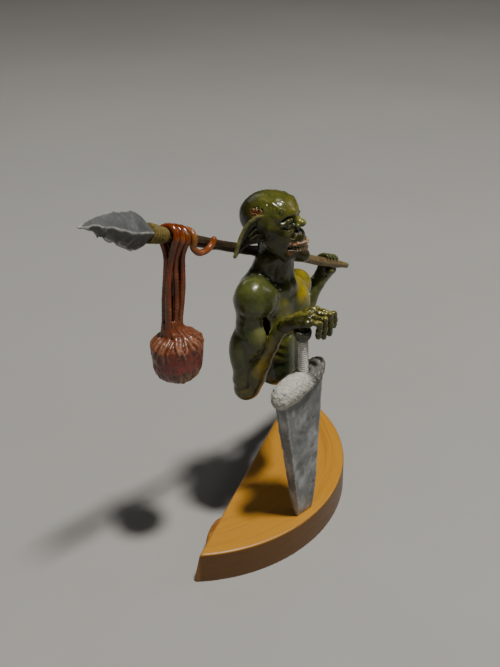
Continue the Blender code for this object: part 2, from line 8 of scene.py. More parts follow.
import bpy
import numpy as np
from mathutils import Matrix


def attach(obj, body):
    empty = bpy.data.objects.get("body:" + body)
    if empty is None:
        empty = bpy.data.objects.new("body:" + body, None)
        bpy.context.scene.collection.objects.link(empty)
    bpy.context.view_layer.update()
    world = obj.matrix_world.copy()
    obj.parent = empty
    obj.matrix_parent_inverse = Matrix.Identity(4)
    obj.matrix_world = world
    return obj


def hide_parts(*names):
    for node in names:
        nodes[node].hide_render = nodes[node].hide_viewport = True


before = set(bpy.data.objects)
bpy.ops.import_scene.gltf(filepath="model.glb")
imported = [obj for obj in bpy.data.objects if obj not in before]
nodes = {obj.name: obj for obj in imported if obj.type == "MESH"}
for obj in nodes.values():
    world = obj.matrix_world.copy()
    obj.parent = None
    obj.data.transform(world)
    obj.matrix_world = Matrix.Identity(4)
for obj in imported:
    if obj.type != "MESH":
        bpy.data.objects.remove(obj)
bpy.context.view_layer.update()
MM = 0.001

# ------------------------------------------------------------------ places, as in the CAD model
ROD_FOOT, ROD_TOP = np.array([0.0, 0.0, 18.0]), np.array([-5.2, 2.0, 128.4])
TORSO_AT, TORSO_YAW = np.array([7.0, 31.0, 0.0]), 12.0
HEAD_AT, HEAD_YAW = np.array([2.5, 32.0, 176.0]), 22.0
SPEAR_BUTT, SPEAR_TIP = np.array([87.0, 50.0, 116.5]), np.array([-100.8, 36.0, 203.0])
SPEAR_WAY = (SPEAR_TIP - SPEAR_BUTT) / np.linalg.norm(SPEAR_TIP - SPEAR_BUTT)
SPEAR_LENGTH = np.linalg.norm(SPEAR_TIP - SPEAR_BUTT)
SPEAR_UP = np.array([0.0, 0.0, 1.0]) - SPEAR_WAY * SPEAR_WAY[2]
SPEAR_UP /= np.linalg.norm(SPEAR_UP)
SPEAR_FRONT = np.cross(SPEAR_UP, SPEAR_WAY)
if SPEAR_FRONT[1] > 0:
    SPEAR_FRONT = -SPEAR_FRONT


def rot_z(degrees):
    a = math.radians(degrees)
    return np.array([[math.cos(a), -math.sin(a), 0], [math.sin(a), math.cos(a), 0], [0, 0, 1.0]])


HEAD_R, TORSO_R = rot_z(HEAD_YAW), rot_z(TORSO_YAW)


def on_rod(z):
    return ROD_FOOT + (ROD_TOP - ROD_FOOT) * ((z - ROD_FOOT[2]) / (ROD_TOP[2] - ROD_FOOT[2]))


def on_spear(share):
    return SPEAR_TIP - SPEAR_WAY * (SPEAR_LENGTH * share)


def tor(x, y, z):
    return TORSO_R @ np.array([x, y, 0.0]) + TORSO_AT + np.array([0, 0, z])


# ------------------------------------------------------------------ noise on points
def hashed(ix, iy, iz, seed):
    n = ix.astype(np.uint32) * np.uint32(374761393) + iy.astype(np.uint32) * np.uint32(668265263) + iz.astype(np.uint32) * np.uint32(2147483647) + np.uint32(seed * 974711 % 4294967291)
    n = (n ^ (n >> np.uint32(13))) * np.uint32(1274126177)
    n = (n ^ (n >> np.uint32(16))) * np.uint32(2246822519)
    return ((n ^ (n >> np.uint32(15))) & np.uint32(0xFFFFFF)).astype(np.float64) / float(0xFFFFFF)


def noise(points, size, seed=0):
    """Smooth value noise from -1 to 1, with lumps about this size."""
    p = np.asarray(points, float) / size + 1000.0
    base = np.floor(p).astype(np.int64)
    f = p - base
    f = f * f * f * (f * (f * 6 - 15) + 10)
    total = 0.0
    for dx in (0, 1):
        for dy in (0, 1):
            for dz in (0, 1):
                w = (f[:, 0] if dx else 1 - f[:, 0]) * (f[:, 1] if dy else 1 - f[:, 1]) * (f[:, 2] if dz else 1 - f[:, 2])
                total = total + w * hashed(base[:, 0] + dx, base[:, 1] + dy, base[:, 2] + dz, seed)
    return total * 2 - 1


def fbm(points, size, octaves=3, seed=0):
    total, amount = 0.0, 1.0
    for i in range(octaves):
        total = total + noise(points, size / 2**i, seed + i) * amount
        amount *= 0.5
    return total


# ------------------------------------------------------------------ sculpting on a grid of distances
def smooth_min(a, b, k):
    if k <= 0:
        return np.minimum(a, b)
    h = np.clip(0.5 + 0.5 * (b - a) / k, 0, 1)
    return b * (1 - h) + a * h - k * h * (1 - h)


class Clay:
    """A block of clay: shapes are added to it and carved from it with soft edges."""

    def __init__(self, low, high, step):
        self.low = np.array(low, float)
        self.step = step
        count = np.ceil((np.array(high, float) - self.low) / step).astype(int) + 1
        self.axes = [self.low[i] + step * np.arange(count[i]) for i in range(3)]
        self.v = np.full(tuple(count), 50.0, np.float32)

    def window(self, low, high):
        a = [int(np.clip(np.floor((low[i] - self.low[i]) / self.step), 0, len(self.axes[i]) - 1)) for i in range(3)]
        b = [int(np.clip(np.ceil((high[i] - self.low[i]) / self.step) + 1, a[i] + 1, len(self.axes[i]))) for i in range(3)]
        cut = tuple(slice(a[i], b[i]) for i in range(3))
        x, y, z = (self.axes[i][cut[i]] for i in range(3))
        return cut, x[:, None, None], y[None, :, None], z[None, None, :]

    def put(self, cut, d, k, carve):
        old = self.v[cut]
        self.v[cut] = -smooth_min(-old, d, k) if carve else smooth_min(old, d, k)

    def ball(self, centre, radii, k=1.0, turn=None, carve=False):
        c = np.asarray(centre, float)
        r = np.ones(3) * np.asarray(radii, float)
        pad = r.max() + k + 5.0
        cut, x, y, z = self.window(c - pad, c + pad)
        x, y, z = x - c[0], y - c[1], z - c[2]
        if turn is not None:
            t = np.asarray(turn)
            x, y, z = (t[0, i] * x + t[1, i] * y + t[2, i] * z for i in range(3))
        k0 = np.sqrt((x / r[0]) ** 2 + (y / r[1]) ** 2 + (z / r[2]) ** 2)
        k1 = np.sqrt((x / r[0] ** 2) ** 2 + (y / r[1] ** 2) ** 2 + (z / r[2] ** 2) ** 2)
        d = np.where(k0 > 1e-6, k0 * (k0 - 1) / np.maximum(k1, 1e-9), -r.min())
        self.put(cut, d, k, carve)
        return self

    def bar(self, a, b, ra, rb=None, k=1.0, carve=False):
        a, b = np.asarray(a, float), np.asarray(b, float)
        rb = ra if rb is None else rb
        pad = max(ra, rb) + k + 5.0
        cut, x, y, z = self.window(np.minimum(a, b) - pad, np.maximum(a, b) + pad)
        way = b - a
        long = max(way @ way, 1e-9)
        t = np.clip(((x - a[0]) * way[0] + (y - a[1]) * way[1] + (z - a[2]) * way[2]) / long, 0, 1)
        d = np.sqrt((x - a[0] - t * way[0]) ** 2 + (y - a[1] - t * way[1]) ** 2 + (z - a[2] - t * way[2]) ** 2)
        self.put(cut, d - (ra + (rb - ra) * t), k, carve)
        return self

    def chain(self, points, k=0.6, carve=False, radius=None):
        for p, q in zip(points[:-1], points[1:]):
            self.bar(p[:3], q[:3], p[3] if radius is None else radius, q[3] if radius is None else radius, k, carve)
        return self

    def slab(self, point, normal, k=0.0):
        """Cuts away everything on the side the normal points to."""
        n = np.asarray(normal, float)
        n = n / np.linalg.norm(n)
        x, y, z = self.axes[0][:, None, None], self.axes[1][None, :, None], self.axes[2][None, None, :]
        d = (x - point[0]) * n[0] + (y - point[1]) * n[1] + (z - point[2]) * n[2]
        self.v = (-smooth_min(-self.v, -d, k)).astype(np.float32)
        return self

    def mesh(self, values=None):
        return nets(self.v if values is None else values, self.low, self.step)


def nets(vol, low, step):
    """Surface of a distance grid as (points, quads), faces out."""
    vol = np.pad(vol, 1, constant_values=9.0)
    low = low - step
    vol = np.where(np.abs(vol) < 1e-4, 1e-4, vol)
    inside = vol < 0
    n = np.array(vol.shape)
    count = np.zeros(tuple(n - 1), np.int8)
    for dx in (0, 1):
        for dy in (0, 1):
            for dz in (0, 1):
                count += inside[dx : n[0] - 1 + dx, dy : n[1] - 1 + dy, dz : n[2] - 1 + dz]
    live = (count > 0) & (count < 8)
    cells = np.argwhere(live)
    index = np.full(live.shape, -1, np.int64)
    index[live] = np.arange(len(cells))
    total, hits = np.zeros((len(cells), 3)), np.zeros(len(cells))
    for axis in range(3):
        e = np.zeros(3, int)
        e[axis] = 1
        others = [i for i in range(3) if i != axis]
        for i in (0, 1):
            for j in (0, 1):
                off = np.zeros(3, int)
                off[others[0]], off[others[1]] = i, j
                p = cells + off
                q = p + e
                a, b = vol[p[:, 0], p[:, 1], p[:, 2]], vol[q[:, 0], q[:, 1], q[:, 2]]
                cross = (a < 0) != (b < 0)
                t = np.where(cross, a / np.where(cross, a - b, 1.0), 0.0)
                total[cross] += (off + t[:, None] * e)[cross]
                hits[cross] += 1
    points = low + (cells + total / hits[:, None]) * step
    quads = []
    for axis in range(3):
        u, v = (axis + 1) % 3, (axis + 2) % 3
        sl0, sl1 = [slice(None)] * 3, [slice(None)] * 3
        sl0[axis], sl1[axis] = slice(0, -1), slice(1, None)
        a, b = inside[tuple(sl0)], inside[tuple(sl1)]
        at = np.argwhere(a != b)
        at = at[(at[:, u] > 0) & (at[:, v] > 0)]
        first = a[at[:, 0], at[:, 1], at[:, 2]]
        eu, ev = np.zeros(3, int), np.zeros(3, int)
        eu[u], ev[v] = 1, 1
        ring = [index[tuple((at - s).T)] for s in (eu + ev, ev, 0 * eu, eu)]
        q = np.stack(ring, 1)
        q[~first] = q[~first][:, ::-1]
        quads.append(q)
    return points, np.concatenate(quads)


def edges_of(quads):
    e = np.concatenate([quads[:, [i, (i + 1) % 4]] for i in range(4)])
    return np.unique(np.sort(e, axis=1), axis=0)


def relax(points, quads, times=2, share=0.5):
    e = edges_of(quads)
    n = len(points)
    degree = np.maximum(np.bincount(e.ravel(), minlength=n), 1)[:, None]
    for i in range(times):
        mean = np.zeros((n, 3))
        for c in range(3):
            mean[:, c] = np.bincount(e[:, 0], points[e[:, 1], c], n) + np.bincount(e[:, 1], points[e[:, 0], c], n)
        points = points + (mean / degree - points) * (share if i % 2 == 0 else -share * 1.04)
    return points


def normals_of(points, quads):
    n = np.cross(points[quads[:, 2]] - points[quads[:, 0]], points[quads[:, 3]] - points[quads[:, 1]])
    out = np.zeros_like(points)
    for i in range(4):
        for c in range(3):
            out[:, c] += np.bincount(quads[:, i], n[:, c], len(points))
    return out / np.maximum(np.linalg.norm(out, axis=1), 1e-12)[:, None]


def hollowness(points, quads, times=6):
    """About -1 on ridges to 1 in creases, from how far each point lies below its surroundings."""
    normal = normals_of(points, quads)
    e = edges_of(quads)
    n = len(points)
    degree = np.maximum(np.bincount(e.ravel(), minlength=n), 1)[:, None]
    soft = points.copy()
    for _ in range(times):
        mean = np.zeros((n, 3))
        for c in range(3):
            mean[:, c] = np.bincount(e[:, 0], soft[e[:, 1], c], n) + np.bincount(e[:, 1], soft[e[:, 0], c], n)
        soft = mean / degree
    return ((soft - points) * normal).sum(1)


# ------------------------------------------------------------------ meshes and materials
def piece(name, points, faces, material, body, stands_for=(), colours=None, flat=False):
    mesh = bpy.data.meshes.new(name)
    faces = np.asarray(faces)
    sides = faces.shape[1]
    mesh.vertices.add(len(points))
    mesh.vertices.foreach_set("co", (np.asarray(points, float) * MM).astype(np.float32).ravel())
    mesh.loops.add(faces.size)
    mesh.loops.foreach_set("vertex_index", faces.astype(np.int32).ravel())
    mesh.polygons.add(len(faces))
    mesh.polygons.foreach_set("loop_start", np.arange(0, faces.size, sides, dtype=np.int32))
    mesh.update(calc_edges=True)
    mesh.validate()
    for key, values in (colours or {}).items():
        data = np.zeros((len(points), 4), np.float32)
        data[:, 3] = 1.0
        values = np.asarray(values, np.float32)
        data[:, :3] = values if values.ndim == 2 else values[:, None]
        layer = mesh.color_attributes.new(key, "FLOAT_COLOR", "POINT")
        layer.data.foreach_set("color", data.ravel())
    mesh.polygons.foreach_set("use_smooth", np.full(len(faces), not flat))
    obj = bpy.data.objects.new(name, mesh)
    bpy.context.scene.collection.objects.link(obj)
    mesh.materials.append(material)
    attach(obj, body)
    if stands_for:
        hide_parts(*stands_for)
    return obj


def closed_tube(line, radii, sides=16):
    """A closed tube along points, with rounded ends, as (points, triangles)."""
    line = np.asarray(line, float)
    radii = np.ones(len(line)) * np.asarray(radii, float)
    way = np.gradient(line, axis=0)
    way /= np.linalg.norm(way, axis=1)[:, None]
    rows = []
    for s in (0.92, 0.7, 0.38):
        rows.append((line[0] - way[0] * radii[0] * s * 0.7, radii[0] * math.sqrt(1 - s * s), way[0]))
    rows += list(zip(line, radii, way))
    for s in (0.38, 0.7, 0.92):
        rows.append((line[-1] + way[-1] * radii[-1] * s * 0.7, radii[-1] * math.sqrt(1 - s * s), way[-1]))
    seed = np.array([0.0, 0.0, 1.0]) if abs(rows[0][2][2]) < 0.9 else np.array([1.0, 0.0, 0.0])
    side = np.cross(rows[0][2], seed)
    angle = 2 * np.pi * np.arange(sides) / sides
    points = []
    for c, r, w in rows:
        side = side - w * (side @ w)
        side = side / np.linalg.norm(side)
        other = np.cross(w, side)
        points.append(c + r * (np.cos(angle)[:, None] * side + np.sin(angle)[:, None] * other))
    m = len(rows)
    points = np.concatenate(points + [[line[0] - way[0] * radii[0] * 0.7], [line[-1] + way[-1] * radii[-1] * 0.7]])
    i, j = np.meshgrid(np.arange(m - 1), np.arange(sides), indexing="ij")
    a, b = (i * sides + j).ravel(), (i * sides + (j + 1) % sides).ravel()
    tris = np.concatenate([np.stack([a, b, b + sides], 1), np.stack([a, b + sides, a + sides], 1)])
    j = np.arange(sides)
    low = np.stack([np.full(sides, m * sides), (j + 1) % sides, j], 1)
    top = (m - 1) * sides
    high = np.stack([np.full(sides, m * sides + 1), top + j, top + (j + 1) % sides], 1)
    return points, np.concatenate([tris, low, high])


def tri_normals(points, tris):
    n = np.cross(points[tris[:, 1]] - points[tris[:, 0]], points[tris[:, 2]] - points[tris[:, 0]])
    out = np.zeros_like(points)
    for i in range(3):
        for c in range(3):
            out[:, c] += np.bincount(tris[:, i], n[:, c], len(points))
    return out / np.maximum(np.linalg.norm(out, axis=1), 1e-12)[:, None]


class Nodes:
    """A short way to write a material's nodes."""

    def __init__(self, name):
        self.m = bpy.data.materials.new(name)
        self.m.use_nodes = True
        self.t = self.m.node_tree
        self.shader = self.t.nodes["Principled BSDF"]
        self.place = self.add("ShaderNodeTexCoord").outputs["Object"]

    def add(self, kind, **settings):
        node = self.t.nodes.new(kind)
        for key, value in settings.items():
            setattr(node, key, value)
        return node

    def wire(self, source, socket):
        if hasattr(source, "is_linked") or isinstance(source, bpy.types.NodeSocket):
            self.t.links.new(source, socket)
        else:
            socket.default_value = source

    def noise(self, scale, detail=4.0, rough=0.55, warp=0.0, stretch=None):
        node = self.add("ShaderNodeTexNoise")
        where = self.place
        if stretch:
            mapping = self.add("ShaderNodeMapping")
            mapping.inputs["Rotation"].default_value = stretch[0]
            mapping.inputs["Scale"].default_value = stretch[1]
            self.t.links.new(where, mapping.inputs["Vector"])
            where = mapping.outputs["Vector"]
        self.t.links.new(where, node.inputs["Vector"])
        node.inputs["Scale"].default_value = scale
        node.inputs["Detail"].default_value = detail
        node.inputs["Roughness"].default_value = rough
        node.inputs["Distortion"].default_value = warp
        return node.outputs["Fac"]

    def cells(self, scale, feature="F1"):
        node = self.add("ShaderNodeTexVoronoi", feature=feature)
        self.t.links.new(self.place, node.inputs["Vector"])
        node.inputs["Scale"].default_value = scale
        return node.outputs["Distance"]

    def ramp(self, value, stops):
        node = self.add("ShaderNodeValToRGB")
        ramp = node.color_ramp
        while len(ramp.elements) < len(stops):
            ramp.elements.new(0.5)
        for element, (at, colour) in zip(ramp.elements, stops):
            element.position = at
            element.color = (*colour, 1.0) if len(colour) == 3 else colour
        self.t.links.new(value, node.inputs["Fac"])
        return node.outputs["Color"]

    def grey(self, value, low, high, a=0.0, b=1.0):
        node = self.add("ShaderNodeMapRange")
        self.t.links.new(value, node.inputs["Value"])
        for key, v in zip(("From Min", "From Max", "To Min", "To Max"), (low, high, a, b)):
            node.inputs[key].default_value = v
        return node.outputs["Result"]

    def mix(self, share, a, b, blend="MIX"):
        node = self.add("ShaderNodeMix", data_type="RGBA", blend_type=blend, clamp_factor=True)
        self.wire(share, node.inputs["Factor"])
        for value, key in ((a, "A"), (b, "B")):
            socket = [s for s in node.inputs if s.name == key and s.type == "RGBA"][0]
            if isinstance(value, bpy.types.NodeSocket):
                self.t.links.new(value, socket)
            else:
                socket.default_value = (*value, 1.0)
        return [s for s in node.outputs if s.type == "RGBA"][0]

    def sums(self, a, b, how="MULTIPLY"):
        node = self.add("ShaderNodeMath", operation=how)
        self.wire(a, node.inputs[0])
        self.wire(b, node.inputs[1])
        return node.outputs[0]

    def layer(self, name):
        node = self.add("ShaderNodeVertexColor", layer_name=name)
        return node.outputs["Color"]

    def bump(self, height, strength, distance, below=None):
        node = self.add("ShaderNodeBump")
        self.t.links.new(height, node.inputs["Height"])
        node.inputs["Strength"].default_value = strength
        node.inputs["Distance"].default_value = distance
        if below is not None:
            self.t.links.new(below, node.inputs["Normal"])
        return node.outputs["Normal"]

    def done(self, colour, rough, normal=None, **fixed):
        s = self.shader.inputs
        self.wire(colour, s["Base Color"])
        self.wire(rough, s["Roughness"])
        if normal is not None:
            self.t.links.new(normal, s["Normal"])
        for key, value in fixed.items():
            s[key.replace("_", " ")].default_value = value
        return self.m


# ------------------------------------------------------------------ camera, light and floor
scene = bpy.context.scene
view = bpy.data.cameras.new("view")
view.lens = 45.88
view.sensor_fit = "VERTICAL"
view.sensor_width = 36.0
view.sensor_height = 36.0
view.clip_start = 0.01
camera = bpy.data.objects.new("view", view)
camera.location = (-0.2690, -0.2266, 0.3291)
camera.rotation_euler = (math.radians(60.0), 0.0, math.radians(-45.0))
scene.collection.objects.link(camera)
scene.camera = camera


def lamp(name, at, aim, size, power, colour=(1.0, 1.0, 1.0)):
    data = bpy.data.lights.new(name, "AREA")
    data.shape = "DISK"
    data.size = size
    data.energy = power
    data.color = colour
    obj = bpy.data.objects.new(name, data)
    obj.location = at
    way = np.array(aim, float) - np.array(at, float)
    flat = math.hypot(way[0], way[1])
    obj.rotation_euler = (math.atan2(flat, -way[2]), 0.0, math.atan2(way[1], way[0]) - math.pi / 2)
    scene.collection.objects.link(obj)


lamp("key", (0.07, -0.52, 2.26), (0.0, 0.03, 0.12), 0.24, 60.0, (1.0, 0.97, 0.92))
lamp("fill", (-0.75, -0.45, 0.55), (0.0, 0.03, 0.12), 0.7, 0.22, (0.95, 0.98, 1.0))
lamp("side", (0.75, -0.35, 0.60), (0.0, 0.03, 0.14), 0.35, 0.7, (1.0, 0.96, 0.9))
lamp("back", (0.2, 0.85, 0.70), (0.0, 0.03, 0.14), 0.5, 0.6)
world = bpy.data.worlds.new("studio")
world.use_nodes = True
world.node_tree.nodes["Background"].inputs["Color"].default_value = (0.62, 0.61, 0.58, 1.0)
world.node_tree.nodes["Background"].inputs["Strength"].default_value = 0.048
scene.world = world

sheet = bpy.data.meshes.new("floor")
sheet.from_pydata([(-4, -4, 0), (4, -4, 0), (4, 4, 0), (-4, 4, 0)], [], [(0, 1, 2, 3)])
floor = bpy.data.objects.new("floor", sheet)
scene.collection.objects.link(floor)
paper = Nodes("backdrop_paper")
sheet.materials.append(paper.done(paper.ramp(paper.noise(3.0), [(0.3, (0.33, 0.325, 0.31)), (0.7, (0.355, 0.35, 0.335))]), 0.85))


# ------------------------------------------------------------------ materials
def skin_material():
    m = Nodes("varnished_skin")
    tint = m.layer("tint")
    mottled = m.ramp(m.noise(220.0, 5.0, 0.6, 0.4), [(0.3, (0.62, 0.66, 0.60)), (0.5, (1.0, 1.0, 1.0)), (0.72, (1.28, 1.22, 1.05))])
    colour = m.mix(1.0, tint, mottled, "MULTIPLY")
    blotch = m.grey(m.noise(70.0, 3.0, 0.5, 0.8), 0.52, 0.68)
    colour = m.mix(m.sums(blotch, 0.35), colour, (0.022, 0.030, 0.005))
    colour = m.mix(m.sums(m.grey(m.noise(110.0, 3.0, 0.5, 0.5), 0.56, 0.7), 0.25), colour, (0.10, 0.074, 0.006))
    rough = m.grey(m.noise(160.0, 4.0), 0.3, 0.7, 0.2, 0.36)
    low = m.bump(m.noise(900.0, 3.0), 0.25, 0.0003)
    return m.done(colour, rough, m.bump(m.cells(1500.0), 0.12, 0.0002, low), Coat_Weight=0.3, Coat_Roughness=0.14, Specular_IOR_Level=0.42, Subsurface_Weight=0.06, Subsurface_Radius=(0.001, 0.0012, 0.0004), Subsurface_Scale=0.6)


def tinted(name, rough=(0.3, 0.5), grain=300.0, strength=0.3, coat=0.0, depth=0.0002, mottle=0.22):
    m = Nodes(name)
    a, b = 1.0 - mottle, 1.0 + mottle
    colour = m.mix(1.0, m.layer("tint"), m.ramp(m.noise(grain, 5.0, 0.62), [(0.28, (a, a, a)), (0.72, (b, b, b))]), "MULTIPLY")
    return m.done(colour, m.grey(m.noise(grain * 0.6), 0.3, 0.7, *rough), m.bump(m.noise(grain * 3.0, 4.0), strength, depth), Coat_Weight=coat, Coat_Roughness=0.12)


SKIN = skin_material()
EYE = tinted("wet_eye", (0.08, 0.14), 400.0, 0.05, 0.8)
TOOTH = tinted("old_tooth", (0.25, 0.4), 900.0, 0.2, 0.4)
SINEW = tinted("wet_sinew", (0.14, 0.26), 320.0, 0.35, 0.22)
BULB = tinted("bulb_flesh", (0.25, 0.5), 420.0, 0.45, 0.35, 0.0003)
FLINT = tinted("flint", (0.3, 0.5), 260.0, 0.2, 0.15, 0.0003, 0.12)
BLADE = tinted("mottled_blade", (0.32, 0.55), 180.0, 0.35, 0.1, 0.0003)
STONE = tinted("granular_stone", (0.6, 0.85), 700.0, 0.6, 0.0, 0.0004)
WIRE = tinted("grip_wire", (0.25, 0.45), 600.0, 0.15, 0.2)
# the pommel's material: its dark colour is painted shadow from the palm above
SHADED_POMMEL = tinted("shaded_pommel_wrap", (0.35, 0.55), 600.0, 0.4, 0.2)
SHAFT = tinted("spear_wood", (0.4, 0.65), 300.0, 0.5, 0.1, 0.0003)
CORD = tinted("binding_cord", (0.55, 0.8), 1200.0, 0.5, 0.0)


def sculpted(clay, values=None, soft=2, lumps=((1.2, 0.06),), seed=3):
    """Mesh of the clay with small hand-worked lumps: (size, height) in mm."""
    points, quads = clay.mesh(values)
    points = relax(points, quads, soft)
    normal = normals_of(points, quads)
    push = 0.0
    for i, (size, height) in enumerate(lumps):
        push = push + fbm(points, size, 3, seed + 7 * i) * height
    points = points + normal * np.asarray(push)[:, None]
    return points, quads


def blend(colours):
    """Mixes colours over points: a base, then (mask 0..1, colour) on top."""
    base = colours[0]
    for mask, colour in colours[1:]:
        mask = np.clip(mask, 0, 1)[:, None]
        base = base * (1 - mask) + np.asarray(colour) * mask
    return base


def soft_step(v, a, b):
    t = np.clip((v - a) / (b - a), 0, 1)
    return t * t * (3 - 2 * t)


def near(points, centre, radius):
    return 1 - soft_step(np.linalg.norm((points - np.asarray(centre)) / radius, axis=1), 0.35, 1.0)


# the darkest of these greens is used only for painted shade
GREEN, SHADE_GREEN, YELLOW = (0.066, 0.075, 0.009), (0.014, 0.018, 0.003), (0.33, 0.245, 0.008)
BROWN, BLUE, LIGHT = (0.185, 0.120, 0.012), (0.018, 0.030, 0.016), (0.125, 0.125, 0.024)


def skin_tint(points, quads, extra=(), creases=1.0, dip=None):
    n = len(points)
    normal = normals_of(points, quads)
    dip = hollowness(points, quads, 8) if dip is None else dip
    lot = fbm(points, 9.0, 3, 41)
    rows = [np.tile(np.array(GREEN), (n, 1))]
    rows.append((soft_step(lot, 0.0, 0.9) * 0.55, LIGHT))
    rows.append((soft_step(-lot, 0.1, 0.9) * 0.6, (0.038, 0.048, 0.008)))
    rows += list(extra)
    # painted shade on downward faces and in creases, and a painted highlight on ridges
    rows.append((soft_step(-normal[:, 2], -0.35, 0.7) * 0.6, SHADE_GREEN))
    rows.append((soft_step(dip, 0.02, 0.16) * 0.85 * creases, SHADE_GREEN))
    rows.append((soft_step(-dip, 0.03, 0.16) * 0.35, LIGHT))
    return blend(rows)


# ------------------------------------------------------------------ torso and arms
BODY_LOW, BODY_HIGH, BODY_STEP = (-31.0, 3.0, 76.0), (75.0, 64.0, 166.0), 0.5


def body_block():
    return Clay(BODY_LOW, BODY_HIGH, BODY_STEP)


torso = body_block()
torso.ball(tor(0, -1.5, 95.0), (13.0, 11.2, 12.4), 1, TORSO_R)
torso.ball(tor(0, 0, 107), (14.0, 11.4, 15), 3, TORSO_R)
torso.ball(tor(0, 0.8, 121), (17.0, 12.4, 17), 3, TORSO_R)
torso.ball(tor(0, 0.8, 133), (17.5, 11.0, 10), 3, TORSO_R)
for s in (-1, 1):
    torso.ball(tor(7.6 if s < 0 else 9.4, -7.2, 127.0 - 1.0 * (s > 0)), (7.4 if s < 0 else 8.2, 5.4, 12.5 - 1.0 * (s > 0)), 2.4, TORSO_R)
    torso.bar(tor(2.5 * s, 3, 150 - 2.0 * (s > 0)), tor(16 * s, 1.5, 139.0 - 4.0 * (s > 0)), 5.2 - 0.6 * (s > 0), 5.2 - 0.4 * (s > 0), 4)
    torso.bar(tor(6.0 * s, -1.0, 157), tor(2.2 * s, -7.2, 142.5), 1.8, 1.6, 3.0)
    torso.bar(tor(2.6 * s, -8.0, 140.0), tor(15.5 * s, -4.0, 141.0 - 5.0 * (s > 0)), 1.5, 1.7, 4.0)
    torso.ball(tor(10 * s, 10, 130), (6, 3.6, 9), 3, TORSO_R)
    torso.ball(tor(15 * s, 2, 121), (4.2, 8, 12), 3, TORSO_R)
    for i in range(3):
        z = 115.0 - 4.4 * i
        torso.chain([(*tor(14.6 * s, 1.0, z + 2.2), 0.6), (*tor(11.9 * s, -6.2, z - 1.0), 0.5), (*tor(8.0 * s, -9.5, z - 3.6), 0.3)], 2.8)
    torso.bar(tor(4.2 * s, -8.6, 113), tor(3.8 * s, -9.2, 97), 2.8, 2.6, 3.4)
    torso.bar(tor(2.0 * s, -11.2, 116.0), tor(8.0 * s, -11.0, 115.4), 0.7, 0.6, 2.0, carve=True)
torso.bar(tor(0, 1.0, 142), tor(0.4, -1.0, 162.0), 8.2, 7.4, 4.0)
# the slope from the neck to the shoulder
for line in (((-0.5, 30.2, 155.5), (-4.1, 33.2, 144.6), (-6.4, 35.0, 141.3), (-10.1, 36.5, 135.2)), ((2.0, 32.6, 153.9), (-1.6, 35.7, 142.8), (-4.0, 37.5, 139.6), (-7.7, 39.0, 133.4))):
    torso.chain([(*q, 5.4) for q in line], 2.5)
torso.bar(tor(0, -14.2, 138), tor(0, -14.0, 118), 1.2, 1.0, 2.4, carve=True)
torso.bar(tor(0, -13.2, 115), tor(0, -12.8, 92), 0.6, 0.5, 1.6, carve=True)
torso.bar(tor(0, 14.4, 141), tor(0, 12.6, 98), 1.3, 1.1, 2.6, carve=True)
torso.ball(tor(0, -13.2, 95.6), (0.9, 1.4, 1.2), 0.7, TORSO_R, carve=True)

r_upper = body_block()
r_upper.ball((-12.2, 27.6, 139.4), (9.9, 9.6, 11.2), 1)
r_upper.bar((-12.6, 27.4, 137.0), (-15.6, 28.4, 121.0), 8.8, 5.4, 2.0)
r_upper.ball((-8.6, 24.4, 139.0), (6.0, 6.4, 8.0), 2.0)
r_upper.bar((-14.0, 29.0, 126.0), (-16.0, 30.0, 95.0), 6.4, 6.4, 2.0)
r_upper.chain([(-22.6, 27.0, 134.0, 0.5), (-20.4, 21.6, 133.0, 0.7), (-15.0, 18.6, 131.4, 0.9), (-8.6, 19.6, 131.4, 0.8)], 2.2, carve=True)
r_upper.ball((-14.4, 23.9, 119.4), (6.2, 5.7, 9.2), 2.6)
r_upper.ball((-17.2, 31.0, 111.0), (6.3, 6.4, 14.0), 1.6)

r_fore = body_block()
r_fore.ball((-16.2, 30.2, 89.6), (5.4, 5.2, 6.8), 1)
r_fore.bar((-15.0, 28.8, 90.0), (-11.2, 24.2, 105.0), 6.4, 5.7, 2.0)
r_fore.ball((-13.4, 24.6, 100.5), (5.4, 5.4, 8.4), 2.0)
r_fore.bar((-11.2, 24.2, 105.0), (-8.7, 19.6, 116.0), 5.7, 4.1, 1.8)
r_fore.bar((-8.7, 19.6, 116.0), (-7.3, 14.6, 125.4), 4.1, 3.1, 1.5)
r_fore.bar((-7.3, 14.6, 125.4), (-6.9, 11.0, 129.6), 3.1, 3.2, 1.5)

l_upper = body_block()
l_upper.ball((26.6, 34.9, 131.2), (7.8, 7.6, 8.2), 1)
l_upper.bar((26.4, 35.8, 130.6), (35.0, 44.2, 116.6), 7.0, 6.0, 2.0)
l_upper.bar((33.0, 42.6, 121.0), (46.0, 52.4, 97.0), 6.2, 6.2, 2.0)
l_upper.ball((35.6, 41.6, 113.5), (5.4, 5.2, 8.4), 1.6)
l_upper.ball((40.6, 51.0, 108.0), (5.4, 5.2, 10.0), 1.6)

l_fore = body_block()
l_fore.ball((47.8, 55.0, 91.8), (5.4, 5.4, 5.6), 1)
l_fore.bar((48.0, 54.0, 94.0), (55.5, 53.2, 103.5), 6.0, 5.7, 2.0)
l_fore.bar((55.5, 53.2, 103.5), (64.5, 52.8, 112.6), 5.7, 4.2, 2.0)
l_fore.bar((64.5, 52.8, 112.6), (68.0, 52.4, 115.0), 4.2, 4.0, 1.5)

